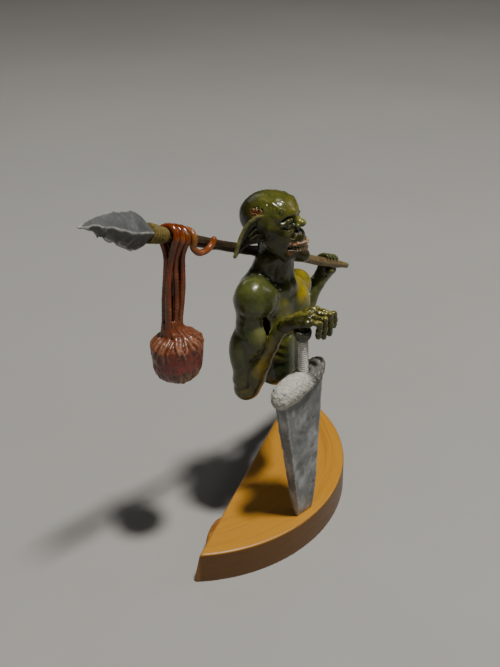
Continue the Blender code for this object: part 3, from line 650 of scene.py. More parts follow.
whole = smooth_min(smooth_min(torso.v, r_upper.v, 4.2), l_upper.v, 3.0)
whole = smooth_min(smooth_min(whole, r_fore.v, 0.5), l_fore.v, 2.0)
armpit = body_block()
for start, stop, r in (((-12.69, 21.85, 134.17), (-6.39, 27.96, 129.38), 0.6), ((-12.0, 21.16, 131.87), (-5.69, 27.24, 127.03), 1.1), ((-11.19, 20.37, 128.78), (-4.89, 26.4, 123.89), 1.5), ((-10.78, 19.98, 125.79), (-4.5, 25.98, 120.84), 1.4), ((-10.82, 20.04, 122.99), (-4.56, 26.02, 117.99), 0.8)):
    armpit.bar(start, stop, r, r, 1.5)
whole = -smooth_min(-whole, armpit.v, 0.8)
shaft_way = body_block()
shaft_way.bar(on_spear(0.3), on_spear(1.05), 3.2, 3.2, 0)
whole = -smooth_min(-whole, shaft_way.v, 0.6)
groups = {"torso": torso, "right_upper_arm": r_upper, "right_forearm": r_fore, "left_upper_arm": l_upper, "left_forearm": l_fore}
calm = np.clip(whole, -6.0, 6.0)
for _ in range(8):
    wide = np.pad(calm, 1, mode="edge")
    calm = (wide[2:, 1:-1, 1:-1] + wide[:-2, 1:-1, 1:-1] + wide[1:-1, 2:, 1:-1] + wide[1:-1, :-2, 1:-1] + wide[1:-1, 1:-1, 2:] + wide[1:-1, 1:-1, :-2]) / 6
crease = (np.clip(whole, -6.0, 6.0) - calm) * 1.5


def sampled(grid, points):
    """Values of a body grid at points, mixed from the eight grid points round each."""
    q = (points - np.array(BODY_LOW)) / BODY_STEP
    base = np.clip(np.floor(q).astype(int), 0, np.array(grid.shape) - 2)
    f = np.clip(q - base, 0, 1)
    total = 0.0
    for dx in (0, 1):
        for dy in (0, 1):
            for dz in (0, 1):
                w = (f[:, 0] if dx else 1 - f[:, 0]) * (f[:, 1] if dy else 1 - f[:, 1]) * (f[:, 2] if dz else 1 - f[:, 2])
                total = total + w * grid[base[:, 0] + dx, base[:, 1] + dy, base[:, 2] + dz]
    return total


def body_rows(points):
    """Colours of the whole body, by place only, so that the pieces run into each other."""
    p = points
    share = {k: np.exp(-np.clip(sampled(c.v, p), -4.0, 20.0) / 1.4) for k, c in groups.items()}
    total = sum(share.values())
    share = {k: v / total for k, v in share.items()}
    local = (p - TORSO_AT) @ TORSO_R
    t, ru, rf, lu, lf = (share[k] for k in ("torso", "right_upper_arm", "right_forearm", "left_upper_arm", "left_forearm"))
    return [
        (ru * 0.6, (0.070, 0.090, 0.032)),
        (t * near(local, (-3, -8, 136), (14, 10, 10)) * 0.5, (0.105, 0.112, 0.024)),
        (t * near(local, (10, -9, 136.5), (11, 12, 11)) * 0.95, YELLOW),
        (t * near(local, (-7.6, -11, 128), (8, 9, 15)) * 0.75, (0.165, 0.155, 0.016)),
        (t * soft_step(-p[:, 2], -114, -100) * 0.85, BLUE),
        # painted light: a pale yellow-green patch on the flank below the hand
        (t * near(local, (6.5, -11, 107), (6.0, 8, 15)) * 0.85, (0.17, 0.18, 0.015)),
        # painted shade on the neck under the jaw
        (t * soft_step(p[:, 2], 141, 150) * 0.8, (0.026, 0.029, 0.005)),
        (rf * soft_step(fbm(p, 9.0, 2, 77), -1.1, 0.2) * soft_step(-p[:, 2], -127, -117) * 0.92, BROWN),
        (rf * soft_step(-p[:, 2], -98, -86) * 0.8, (0.044, 0.031, 0.003)),
        (rf * near(p, (-13, 18, 104), (7, 8, 10)) * 0.5, (0.23, 0.15, 0.014)),
        (ru * soft_step(-p[:, 2], -102, -90) * 0.5, (0.055, 0.045, 0.005)),
        # painted shade on the front of the right shoulder
        (ru * near(p, (-9, 20.5, 140), (8, 8, 12)) * 0.65, (0.026, 0.033, 0.006)),
        # painted highlight on the right biceps
        (ru * near(p, (-15, 19.5, 125), (6, 6, 6)) * 0.7, (0.17, 0.18, 0.07)),
        (lu * near(p, (26, 30, 134), (14, 14, 14)) * 0.9, YELLOW),
        # painted shade: near-black in the gap between the right arm and the chest
        ((1 - soft_step(sampled(armpit.v, p), 0.1, 0.9)) * soft_step(p[:, 1], 20.0, 22.5), (0.004, 0.004, 0.002)),
        (lf * 0.7, (0.046, 0.052, 0.020)),
        (lu * soft_step(-p[:, 2], -126, -112) * 0.5, (0.026, 0.031, 0.007)),
    ]


for name, clay in groups.items():
    others = np.minimum.reduce([c.v for k, c in groups.items() if k != name])
    own = np.maximum(whole, 0.5 * (clay.v - others) - 0.7)
    at = np.argwhere(own < 0.6)
    a, b = np.maximum(at.min(0) - 2, 0), at.max(0) + 3
    box = tuple(slice(a[i], b[i]) for i in range(3))
    points, quads = nets(own[box], clay.low + a * clay.step, clay.step)
    points = relax(points, quads, 2)
    normal = normals_of(points, quads)
    lump = fbm(points, 1.6, 3, 9)
    dip = sampled(crease, points) - 0.02 * lump
    rows = body_rows(points)
    points = points + normal * (fbm(points, 7.0, 2, 5) * 0.16 + lump * 0.05)[:, None]
    piece("skin_" + name, points, quads, SKIN, "figure", (name,), {"tint": skin_tint(points, quads, rows, 0.6, dip)})


# ------------------------------------------------------------------ head
def hd(points):
    return np.asarray(points, float) @ HEAD_R.T + HEAD_AT


head = Clay((-14.5, -24.5, -23.0), (14.5, 17.5, 16.8), 0.3)
head.ball((0, 0.6, 0.7), (12.1, 14.0, 11.8), 1)
head.ball((0, -1.6, 3.4), (10.6, 11.0, 8.9), 3)
head.ball((0, -6.9, 6.0), (8.6, 5.4, 5.4), 3)
head.ball((0, -10.8, -8.4), (7.2, 7.4, 6.4), 3)
head.ball((0, -10.4, -14.4), (7.0, 8.4, 4.6), 2.5)
head.ball((0, -17.4, -16.6), (3.8, 3.4, 2.9), 2.2)
head.bar((0, -2.0, -8.0), (2.0, -1.0, -17.0), 7.6, 7.0, 3)
for s in (-1, 1):
    head.bar((1.6 * s, -12.0, 5.0), (8.8 * s, -8.2, 4.4), 1.9, 1.5, 1.8)
    head.bar((6.4 * s, -10.4, -3.6), (10.4 * s, -4.5, -2.4), 2.2, 2.2, 3.0)
    head.ball((7.4 * s, -7.0, -7.4), (3.6, 5.6, 5.6), 3.0)
    head.bar((8.4 * s, -3.5, -8.5), (6.4 * s, -11.0, -15.2), 2.8, 2.8, 3.0)
    head.ball((6.0 * s, -12.4, 1.2), (4.2, 4.2, 3.0), 1.2, carve=True)
head.bar((0, -11.6, 3.4), (0, -15.4, 0.0), 1.5, 1.8, 1.3)
head.ball((0, -16.5, -0.1), (2.0, 1.9, 1.7), 0.9)
for s in (-1, 1):
    head.ball((1.9 * s, -14.8, -1.3), (1.6, 1.7, 1.5), 0.6)
    head.ball((1.5 * s, -16.1, -2.3), (0.9, 1.2, 1.1), 0.35, carve=True)
    # eyelids and the bags below the eye
    lid = [(2.8, -12.0, 1.0), (4.4, -12.3, 2.4), (6.4, -11.9, 2.5), (8.8, -9.6, 1.1)]
    head.chain([(x * s, y, z - 0.2, 0.95) for x, y, z in lid], 0.9)
    low = [(2.8, -12.0, 0.7), (4.4, -12.3, -0.6), (6.4, -11.9, -0.7), (8.8, -9.6, 0.7)]
    head.chain([(x * s, y, z + 0.2, 0.85) for x, y, z in low], 0.9)
    head.chain([(2.6 * s, -12.8, -1.4, 0.8), (5.0 * s, -12.9, -3.2, 1.0), (8.0 * s, -10.8, -3.0, 0.95), (9.6 * s, -8.4, -1.0, 0.6)], 0.9)
    head.chain([(3.2 * s, -13.2, -4.2, 0.5), (5.8 * s, -12.4, -5.4, 0.7), (8.6 * s, -9.8, -5.0, 0.6)], 1.2)
    # fold from the nose round the muzzle
    head.chain([(2.8 * s, -15.0, -3.0, 0.3), (5.4 * s, -13.8, -5.6, 0.4), (7.6 * s, -10.8, -7.6, 0.3)], 1.1, carve=True)
    head.chain([(0.9 * s, -13.6, 5.2, 0.25), (1.1 * s, -13.2, 3.6, 0.25)], 0.6, carve=True)
    head.chain([(7.4 * s, -10.4, -13.0, 0.3), (8.8 * s, -7.0, -13.2, 0.25)], 0.9, carve=True)
# open mouth with swollen lips
MOUTH = np.array([(6.9, -10.0), (6.3, -13.0), (5.2, -15.6), (3.6, -17.6), (1.8, -18.7), (0.0, -19.1)])


def lips(share, out=0.0):
    """A place on the curve of the mouth, 0 at its corner and 1 at its middle."""
    t = np.linspace(0, 1, len(MOUTH))
    x, y = np.interp(share, t, MOUTH[:, 0]), np.interp(share, t, MOUTH[:, 1])
    way = np.array([x, y + 11.5])
    way = way / np.linalg.norm(way)
    return x + way[0] * out, y + way[1] * out


for s in (-1, 1):
    rows = [(*lips(f), f) for f in np.linspace(0, 1, 11)]
    head.chain([(x * s, y, -10.8 - 0.1 * f, 0.8 + 0.5 * min(1, f * 3)) for x, y, f in rows], 0.5, carve=True)
    head.chain([(x * s, y, -10.4 + 1.3 * min(1.0, f * 2.4) ** 0.6, 0.66 + 0.2 * f + 0.08 * math.sin(19 * f)) for x, y, f in rows], 0.5)
    head.chain([(x * s, y * 0.985, -11.2 - 1.4 * min(1.0, f * 2.4) ** 0.6, 0.68 + 0.18 * f + 0.08 * math.sin(17 * f + 1)) for x, y, f in rows], 0.5)
    for f in np.linspace(0.14, 0.96, 8):
        x, y = lips(f, 1.15)
        head.bar((x * s, y, -8.4), (x * s * 1.01, y, -9.8), 0.24, 0.2, 0.35, carve=True)
        head.bar((x * s, y * 0.985, -12.0), (x * s * 1.01, y * 0.985, -13.4), 0.2, 0.24, 0.35, carve=True)
# sore on the skull and veins
rand = np.random.RandomState(11)
for i in range(70):
    a, b = rand.uniform(-1, 1, 2)
    y, z = 2.4 + 3.6 * a, 5.6 + 2.6 * b * math.sqrt(1 - 0.6 * a * a)
    side = 12.1 * math.sqrt(max(0.0, 1 - ((y - 0.6) / 14.0) ** 2 - ((z - 0.7) / 11.8) ** 2))
    head.ball((-side + (0.12 if i % 2 else -0.2), y, z), rand.uniform(0.25, 0.5), 0.3, carve=i % 2 == 0)
for s in (-1, 1):
    head.chain([(7.0 * s, -0.3, 10.7, 0.4), (7.5 * s, -4.4, 9.9, 0.6), (8.0 * s, -8.3, 8.1, 0.7), (7.4 * s, -9.9, 7.2, 0.6)], 1.4)
    for bend in ((0.2, 1.2), (1.6, 2.2), (2.9, 2.6), (4.1, 2.4), (5.2, 1.8)):
        y, drop = -1.4 - 1.5 * bend[0], bend[1]
        head.chain([((7.3 + 0.12 * bend[0]) * s, y + 0.4, 10.7 - 0.38 * bend[0], 0.3), ((8.9 + 0.05 * bend[0]) * s, y - 0.3, 9.3 - 0.45 * bend[0], 0.38), ((10.1 - 0.1 * bend[0]) * s, y + 0.3, 9.2 - drop - 0.35 * bend[0], 0.25)], 0.5)
points, quads = sculpted(head, None, 2, ((4.0, 0.12), (0.9, 0.05)), 21)
p = points
mouth = np.full(len(p), 9.0)
for f in np.linspace(0, 1, 21):
    x, y = lips(f)
    for s in (-1, 1):
        mouth = np.minimum(mouth, np.hypot(p[:, 0] - x * s, p[:, 1] - y))
extra = [
    # painted top light: the brow and the crown are painted lighter
    (near(p, (0, -11, 6.5), (10, 7, 7)) * 0.9, (0.135, 0.125, 0.012)),
    (soft_step(p[:, 2], 1, 10) * 0.45, (0.095, 0.094, 0.014)),
    # painted shade on the back of the head
    (soft_step(p[:, 1], 1, 9) * 0.8, (0.012, 0.013, 0.002)),
    # darker lower face: dark wash and painted shade
    (soft_step(-p[:, 2], -3.5, 2.5) * 0.92, (0.011, 0.011, 0.002)),
    # painted highlights on the cheekbones
    (near(p, (-6, -11.5, -3.2), (4.4, 4, 2.0)) * 0.8, (0.10, 0.085, 0.016)),
    (near(p, (6, -11.5, -3.2), (4.4, 4, 2.0)) * 0.8, (0.10, 0.085, 0.016)),
    (near(p, (0, -16, 0.6), (3.0, 5, 4.0)) * 0.9, (0.20, 0.195, 0.022)),
    # painted shade in the eye sockets under the brow
    (near(p, (-6.0, -11, 1.0), (5.6, 5, 3.8)) * 0.95, (0.012, 0.009, 0.004)),
    (near(p, (6.0, -11, 1.0), (5.6, 5, 3.8)) * 0.95, (0.012, 0.009, 0.004)),
    (near(p, (0, -17, -5.4), (4.6, 4, 3.0)) * 0.6, (0.036, 0.028, 0.005)),
    (near(p, (0, -17.6, -17), (5.5, 4, 3.2)) * 0.6, (0.045, 0.036, 0.008)),
    (near(p, (-11.0, 2.4, 5.6), (3.2, 5.2, 4.0)), (0.20, 0.062, 0.020)),
    ((1 - soft_step(mouth, 1.4, 2.6)) * (1 - soft_step(np.abs(p[:, 2] + 11), 2.6, 3.6)) * 0.9, (0.12, 0.048, 0.022)),
    ((1 - soft_step(mouth, 1.2, 2.0)) * (1 - soft_step(np.abs(p[:, 2] + 8.8), 0.5, 1.2)) * 0.9, (0.20, 0.068, 0.034)),
    # painted highlights: pale glint patches on the lips
    ((1 - soft_step(mouth, 1.2, 2.0)) * (1 - soft_step(np.abs(p[:, 2] + 8.6), 0.5, 1.2)) * soft_step(fbm(p, 0.9, 2, 57), -0.1, 0.35) * 0.9, (0.54, 0.43, 0.32)),
    ((1 - soft_step(mouth, 1.2, 2.0)) * (1 - soft_step(np.abs(p[:, 2] + 12.4), 0.3, 0.8)) * soft_step(fbm(p, 1.0, 2, 58), 0.1, 0.6) * 0.45, (0.30, 0.19, 0.12)),
    ((1 - soft_step(mouth, 1.0, 2.4)) * (1 - soft_step(np.abs(p[:, 2] + 10.9), 0.8, 1.3)), (0.020, 0.004, 0.002)),
]
piece("skin_head", hd(points), quads, SKIN, "figure", ("head",), {"tint": skin_tint(points, quads, extra)})

for s, name in ((-1, "right"), (1, "left")):
    ear = Clay((-22.0, -4.5, -17.5), (-8.0, 12.5, 8.0), 0.25)
    rim = [(-10.4, -2.2, 5.0, 0.9), (-11.8, 1.4, 4.2, 0.85), (-13.4, 4.2, 2.0, 0.85), (-15.0, 6.2, -1.2, 0.8), (-16.6, 7.6, -5.0, 0.75), (-18.0, 8.6, -9.2, 0.65), (-19.4, 9.3, -13.8, 0.45)]
    hem = [(-10.4, -1.4, -6.6, 1.1), (-11.6, 1.2, -7.8, 1.0), (-13.2, 3.6, -8.2, 0.85), (-14.8, 5.4, -8.8, 0.8), (-16.4, 7.0, -10.2, 0.7), (-18.0, 8.3, -12.0, 0.6), (-19.4, 9.3, -13.8, 0.45)]
    ear.chain(rim, 0.5).chain(hem, 0.5)
    for i in range(33):
        t = i / 32 * (len(rim) - 1)
        j = min(int(t), len(rim) - 2)
        f = t - j
        top = np.array(rim[j][:3]) * (1 - f) + np.array(rim[j + 1][:3]) * f
        low = np.array(hem[j][:3]) * (1 - f) + np.array(hem[j + 1][:3]) * f
        bow = (top + low) / 2 + np.array([0.9, 1.1, 0.0]) * (1 - t / 6) * 1.4
        ear.chain([(*top, 0.6), (*bow, 0.6), (*low, 0.55)], 0.6)
    ear.chain([(-10.6, -1.0, 2.4, 0.6), (-12.4, 2.0, 1.0, 0.6), (-14.2, 4.6, -2.0, 0.55), (-15.6, 6.0, -5.4, 0.4)], 0.5)
    ear.chain([(-10.6, -1.0, -0.8, 0.6), (-12.4, 2.2, -2.2, 0.6), (-14.0, 4.4, -4.6, 0.4)], 0.5)
    ear.chain([(-10.6, -1.0, -3.6, 0.55), (-12.2, 1.8, -5.0, 0.5), (-13.8, 4.0, -6.6, 0.35)], 0.5)
    ear.ball((-10.8, -2.2, -1.4), (1.0, 1.4, 2.6), 0.6)
    points, quads = sculpted(ear, None, 2, ((1.4, 0.08),), 31)
    p = points.copy()
    rims = np.full(len(p), 9.0)
    for q in np.concatenate([np.linspace(rim[i][:3], rim[i + 1][:3], 12) for i in range(6)]):
        rims = np.minimum(rims, np.linalg.norm(p - q, axis=1))
    inner = soft_step(normals_of(points, quads) @ np.array([-0.35, -0.8, -0.1]), 0.1, 0.6)
    extra = [(inner * 0.95, (0.012, 0.009, 0.005)), (np.full(len(p), 0.5), (0.035, 0.033, 0.012)), (1 - soft_step(rims, 0.75, 1.5), (0.16, 0.16, 0.05)), (near(p, (-13, 3, -8.2), (4.5, 5, 2.0)) * 0.6, (0.06, 0.062, 0.014)), (near(p, (-18.5, 8.8, -11), (3, 3, 4)) * 0.5, (0.09, 0.085, 0.04))]
    tint = skin_tint(points, quads, extra)
    tint = tint * (1 - 0.86 * inner * soft_step(rims, 0.7, 1.5))[:, None]
    if s > 0:
        points = points * np.array([-1, 1, 1])
        quads = quads[:, ::-1]
    piece(f"skin_{name}_ear", hd(points), quads, SKIN, "figure", (f"{name}_ear",), {"tint": tint})

    eye = Clay((-2.6, -2.6, -2.6), (2.6, 2.6, 2.6), 0.16)
    eye.ball((0, 0, 0), 2.0, 0.1)
    eye.ball((-0.1 * s, -1.45, 0.1), 0.75, 0.2)
    points, quads = sculpted(eye, None, 2, ((1.0, 0.02),), 5)
    front = np.hypot(points[:, 0] + 0.1 * s, points[:, 2] - 0.1) + 9 * (points[:, 1] > 0)
    tint = blend([np.tile((0.030, 0.020, 0.009), (len(points), 1)), (1 - soft_step(front, 0.95, 1.15), (0.045, 0.024, 0.006)), (1 - soft_step(front, 0.38, 0.52), (0.006, 0.005, 0.004)), (soft_step(front, 1.2, 2.2) * 0.6, (0.03, 0.014, 0.008))])
    piece(f"{name}_eyeball", hd(points + np.array([5.9 * s, -10.5, 0.8])), quads, EYE, "figure", (f"{name}_eye",), {"tint": tint})

for name, level, way in (("upper_teeth", -9.9, -1), ("lower_teeth", -12.0, 1)):
    gum = Clay((-8.5, -21.0, level - 4), (8.5, -8.5, level + 4), 0.18)
    rand = np.random.RandomState(5 if way < 0 else 8)
    arc = [lips(1 - abs(f), -0.7) for f in np.linspace(-0.98, 0.98, 23)]
    arc = [(x * (1 if f > 0 else -1), y) for (x, y), f in zip(arc, np.linspace(-0.98, 0.98, 23))]
    gum.chain([(x, y, level - 0.1 * way, 0.62) for x, y in arc], 0.3)
    for f in np.linspace(-0.9, 0.9, 17):
        f += rand.uniform(-0.02, 0.02)
        x, y = lips(1 - abs(f), -0.2)
        root = np.array([x * (1 if f > 0 else -1), y, level])
        tip = root + np.array([0.0, -0.15, way * rand.uniform(0.7, 1.5) * (0.65 + 0.35 * (1 - abs(f)))])
        gum.bar(root, tip, rand.uniform(0.5, 0.62), rand.uniform(0.14, 0.26), 0.15)
    points, quads = sculpted(gum, None, 1, ((0.8, 0.03),), 15)
    up = (points[:, 2] - level) * way
    tint = blend([np.tile((0.14, 0.035, 0.018), (len(points), 1)), (soft_step(up, 0.0, 0.5), (0.48, 0.36, 0.20)), (soft_step(up, 0.7, 1.5), (0.72, 0.66, 0.50))])
    piece(f"jagged_{name}", hd(points), quads, TOOTH, "figure", (name,), {"tint": tint})


# ------------------------------------------------------------------ right hand on the pommel
HAND_SIDE, HAND_WAY = np.array([0.71, 0.70, 0.0]), np.array([0.69, -0.70, 0.16])


def hand_tint(points, quads, seed, lift=1.0):
    wart = fbm(points, 1.3, 2, seed)
    along = (points - np.array([-6.9, 10.4, 0.0])) @ np.array([0.54, -0.84, 0.0])
    far_side = soft_step(points @ HAND_SIDE - 2.38 + 0.2 * along, -3.2, -0.2)
    # upward faces on the far side turn golden: gold-brushed skin with painted top light
    up = soft_step(normals_of(points, quads) @ (0.4 * HAND_SIDE + np.array([0, 0, 0.9])), 0.15, 0.75)
    up = up * (far_side if lift == 1.0 else 1.0)
    return skin_tint(points, quads, [
        (np.full(len(points), 0.85), np.array((0.019, 0.017, 0.003)) * lift),
        (up * 0.9, np.array((0.16, 0.140, 0.018)) * min(lift, 1.6)),
        (up * soft_step(wart, 0.1, 0.7) * 0.6, (0.27, 0.24, 0.06)),
        (soft_step(-wart, 0.1, 0.7) * 0.6, (0.012, 0.011, 0.002)),
    ], 1.0)


palm_line = np.array([(-7.2, 12.6, 128.2), (-6.9, 10.4, 129.9), (-4.6, 5.0, 133.3), (-0.6, 0.6, 134.9)])
FINGERS = (
    ("little", -5.1, ((-2.0, 0.3), (-0.2, 0.8), (3.7, -1.1), (3.6, -4.6), (3.4, -7.6))),
    ("ring", -1.7, ((-1.4, 1.2), (0.7, 1.7), (6.4, -0.8), (6.6, -5.8), (6.3, -10.2))),
    ("middle", 1.7, ((-0.8, 1.9), (1.8, 2.1), (9.0, -0.9), (9.6, -6.2), (9.3, -10.8))),
    ("index", 5.1, ((-0.2, 1.8), (3.0, 1.7), (11.2, -2.4), (11.8, -5.8), (11.5, -8.6))),
)


def finger_line(offset, stations):
    return [np.array([-0.8, 0.8, 134.9]) + HAND_WAY * along + HAND_SIDE * offset + np.array([0, 0, down]) for along, down in stations]


hand = Clay((-16.0, -8.0, 121.0), (10.0, 19.0, 141.0), 0.3)
hand.chain([(*palm_line[0], 3.2), (*palm_line[1], 3.4), (*palm_line[2], 3.2), (*palm_line[3], 2.5)], 1.5)
for name, offset, stations in FINGERS:
    line = finger_line(offset, stations)
    hand.chain([(*palm_line[1], 3.0), (*(palm_line[2] + HAND_SIDE * offset * 0.6 + np.array([0, 0, 0.3])), 2.6), (*line[0], 1.9), (*line[1], 1.5)], 1.2)
    hand.bar(palm_line[1] + HAND_SIDE * offset * 0.35 + np.array([0, 0, 2.9]), line[1] + np.array([0, 0, 1.2]), 0.5, 0.5, 0.8)
rand = np.random.RandomState(4)
for i in range(120):
    a, b = rand.uniform(0, 1), rand.uniform(-0.45, 1)
    j = min(int(a * 2.999), 2)
    at = palm_line[j] * (1 - (a * 3 - j)) + palm_line[j + 1] * (a * 3 - j)
    lift = 3.3 - 0.4 * a
    hand.ball(at + HAND_SIDE * b * (3.4 + 2.6 * a) + np.array([0, 0, lift * math.sqrt(max(0.05, 1 - b * b * 0.75))]), rand.uniform(0.35, 0.72), 0.35)
hand.bar(on_rod(116.0), on_rod(126.0), 4.4, 4.4, 0.4, carve=True)
points, quads = sculpted(hand, None, 1, ((2.0, 0.12), (0.8, 0.08)), 61)
piece("skin_right_hand", points, quads, SKIN, "figure", ("right_hand",), {"tint": hand_tint(points, quads, 3)})
for n, (name, offset, stations) in enumerate(FINGERS):
    line = finger_line(offset, stations)
    low, high = np.min(line, axis=0) - 4, np.max(line, axis=0) + 4
    clay = Clay(low, high, 0.22)
    clay.chain([(*q, r) for q, r in zip(line, (1.5, 1.35, 1.2, 1.2, 1.05))], 0.4)
    for k, size in ((1, 1.65), (2, 1.75), (3, 1.6), (4, 1.35)):
        clay.ball(line[k] + np.array([0, 0, 0.15]), size, 0.4)
    rand = np.random.RandomState(40 + n)
    for k in range(1, 4):
        for f in (0.3, 0.55, 0.8):
            at = line[k] * (1 - f) + line[k + 1] * f
            for t in rand.uniform(0, 2 * np.pi, 5):
                way = np.array([math.cos(t) * 0.7, math.cos(t) * -0.7, 0.2]) + HAND_SIDE * math.sin(t)
                clay.ball(at + way / np.linalg.norm(way) * 1.15, rand.uniform(0.35, 0.6), 0.3)
    points, quads = sculpted(clay, None, 1, ((1.2, 0.14), (0.5, 0.05)), 70 + n)
    piece(f"skin_right_{name}_finger", points, quads, SKIN, "figure", (f"right_{name}_finger",), {"tint": hand_tint(points, quads, 13 + n, 3.6)})
clay = Clay((-8.0, 2.0, 119.0), (7.0, 14.0, 137.0), 0.25)
clay.chain([(-3.6, 7.6, 132.0, 2.0), (-2.0, 8.6, 131.0, 1.8), (0.2, 8.6, 127.6, 1.6), (1.4, 6.8, 123.6, 0.9)], 0.5)
clay.ball((0.2, 8.7, 127.6), 1.75, 0.5)
points, quads = sculpted(clay, None, 1, ((1.2, 0.14), (0.5, 0.05)), 90)
piece("skin_right_thumb", points, quads, SKIN, "figure", ("right_thumb",), {"tint": hand_tint(points, quads, 23, 1.6)})


# ------------------------------------------------------------------ left hand round the shaft
FIST = on_spear(0.900)


def round_shaft(along, degrees, radius):
    a = math.radians(degrees)
    return FIST - SPEAR_WAY * along + radius * (-SPEAR_FRONT * math.cos(a) + SPEAR_UP * math.sin(a))


def dark_hand(points, quads, seed):
    return skin_tint(points, quads, [(np.full(len(points), 0.6), (0.036, 0.040, 0.009)), (soft_step(fbm(points, 2.0, 2, seed), 0.1, 0.7) * 0.5, (0.10, 0.095, 0.02))])


hand = Clay((54.0, 42.0, 107.0), (84.0, 64.0, 134.0), 0.32)
for along, share in ((-4.4, 0.9), (-1.6, 1.0), (1.6, 1.0), (4.4, 0.9)):
    way = -SPEAR_WAY * along
    hand.chain([(66.6 + way[0] * 0.4, 52.6, 114.2 + way[2] * 0.4, 3.4), (72.0 + way[0], 52.4, 119.0 + way[2], 3.0 * share), (72.6 + way[0], 53.2, 123.4 + way[2], 2.3 * share)], 1.0)
hand.bar(on_spear(0.82), on_spear(1.0), 3.15, 3.15, 0.3, carve=True)
points, quads = sculpted(hand, None, 1, ((2.0, 0.14), (0.8, 0.06)), 95)
piece("skin_left_hand", points, quads, SKIN, "figure", ("left_hand",), {"tint": dark_hand(points, quads, 33)})
for n, (name, along) in enumerate((("index", -5.1), ("middle", -1.7), ("ring", 1.7), ("little", 5.1))):
    line = [round_shaft(along, d, 3.8) for d in np.linspace(8, 124, 9)]
    clay = Clay(np.min(line, axis=0) - 3, np.max(line, axis=0) + 3, 0.22)
    clay.chain([(*q, r) for q, r in zip(line, (1.4, 1.2, 1.1, 1.05, 1.05, 1.0, 0.95, 0.9, 0.7))], 0.4)
    for k in (2, 5):
        clay.ball(round_shaft(along, np.linspace(8, 124, 9)[k], 3.95), 1.15, 0.4)
    clay.bar(on_spear(0.82), on_spear(1.0), 3.0, 3.0, 0.1, carve=True)
    points, quads = sculpted(clay, None, 1, ((1.2, 0.12),), 100 + n)
    piece(f"skin_left_{name}_finger", points, quads, SKIN, "figure", (f"left_{name}_finger",), {"tint": dark_hand(points, quads, 43 + n)})
line = [round_shaft(3.0, d, 4.85) for d in np.linspace(-34, -118, 7)]
clay = Clay(np.min(line, axis=0) - 4, np.max(line, axis=0) + 4, 0.25)
clay.chain([(*q, r) for q, r in zip(line, (1.9, 1.7, 1.6, 1.55, 1.45, 1.3, 1.0))], 0.4)
clay.bar(on_spear(0.82), on_spear(1.0), 3.0, 3.0, 0.1, carve=True)
points, quads = sculpted(clay, None, 1, ((1.2, 0.12),), 110)
piece("skin_left_thumb", points, quads, SKIN, "figure", ("left_thumb",), {"tint": dark_hand(points, quads, 53)})


# ------------------------------------------------------------------ dagger
def between(z, rows, column):
    return np.interp(z, [r[0] for r in rows], [r[column] for r in rows])


BLADE_ROWS = ((18.3, -1.4, 7.4, 1.5), (27.0, -1.75, 8.6, 2.6), (34.0, -2.05, 9.65, 3.0), (56.0, -3.3, 12.1, 3.4), (78.0, -4.75, 14.75, 3.7), (99.0, -6.0, 17.0, 4.0), (106.0, -6.0, 17.4, 4.0))
blade = Clay((-25.5, -6.0, 17.4), (14.0, 10.0, 103.0), 0.42)
x, y, z = np.meshgrid(*blade.axes, indexing="ij")
shape = x.shape
rows = np.stack([x.ravel(), y.ravel(), z.ravel()], 1)
cx, cy = between(rows[:, 2], BLADE_ROWS, 1), ROD_TOP[1] * (rows[:, 2] - 18.0) / 110.4
a, b = between(rows[:, 2], BLADE_ROWS, 2), between(rows[:, 2], BLADE_ROWS, 3)
u, w = rows[:, 0] - cx, rows[:, 1] - cy
line = np.stack([0 * u, 0 * u + (u > 0) * 40.0, rows[:, 2]], 1)
ragged = fbm(line, 7.0, 3, 120)
edge = a - 0.55 - np.where(u < 0, 0.55, 0.35) * np.maximum(0, ragged) * 1.3 + 0.2 * ragged
thick = b * np.minimum(1.0, np.maximum(0.09, (edge - np.abs(u)) / (np.where(u < 0, 0.06, 0.30) * a)) ** 0.9)
thick = np.where(w < 0, thick, thick * 0.98)
d = np.maximum((np.abs(w) - thick) * 0.85, (np.abs(u) - edge) * 0.95)
d = np.maximum(d, 18.2 + 0.03 * (u + 6.0) - rows[:, 2])
blade.v = d.reshape(shape).astype(np.float32)
rand = np.random.RandomState(17)
for i in range(22):
    zz = rand.uniform(24, 96)
    side = -1 if rand.uniform() < 0.62 else 1
    at = between(zz, BLADE_ROWS, 1) + side * (between(zz, BLADE_ROWS, 2) - 0.1 + rand.uniform(0.2, 1.2))
    blade.ball((at, rand.choice([-2.4, 2.4]) + ROD_TOP[1] * (zz - 18) / 110.4, zz), (rand.uniform(1.2, 2.0), rand.uniform(1.8, 2.6), rand.uniform(1.2, 3.4)), 0.5, carve=True)
for i in range(34):
    zz = rand.uniform(24, 97)
    half = between(zz, BLADE_ROWS, 2)
    size = rand.uniform(2.5, 7.0)
    face = -1 if rand.uniform() < 0.7 else 1
    depth = rand.uniform(0.15, 0.4)
    at = between(zz, BLADE_ROWS, 1) + half * rand.uniform(-0.7, 0.7)
    blade.ball((at, ROD_TOP[1] * (zz - 18) / 110.4 + face * (between(zz, BLADE_ROWS, 3) + 6.0 - depth), zz), (size, 6.0, size * rand.uniform(0.7, 1.8)), 0.6, carve=True)
points, quads = sculpted(blade, None, 2, ((6.0, 0.10), (1.6, 0.05)), 131)
p = points
smear = fbm(p * np.array([1.0, 1.0, 0.55]), 7.5, 3, 140)
fine = fbm(p * np.array([1.0, 1.0, 0.6]), 1.6, 3, 150)
dip = hollowness(points, quads, 10)
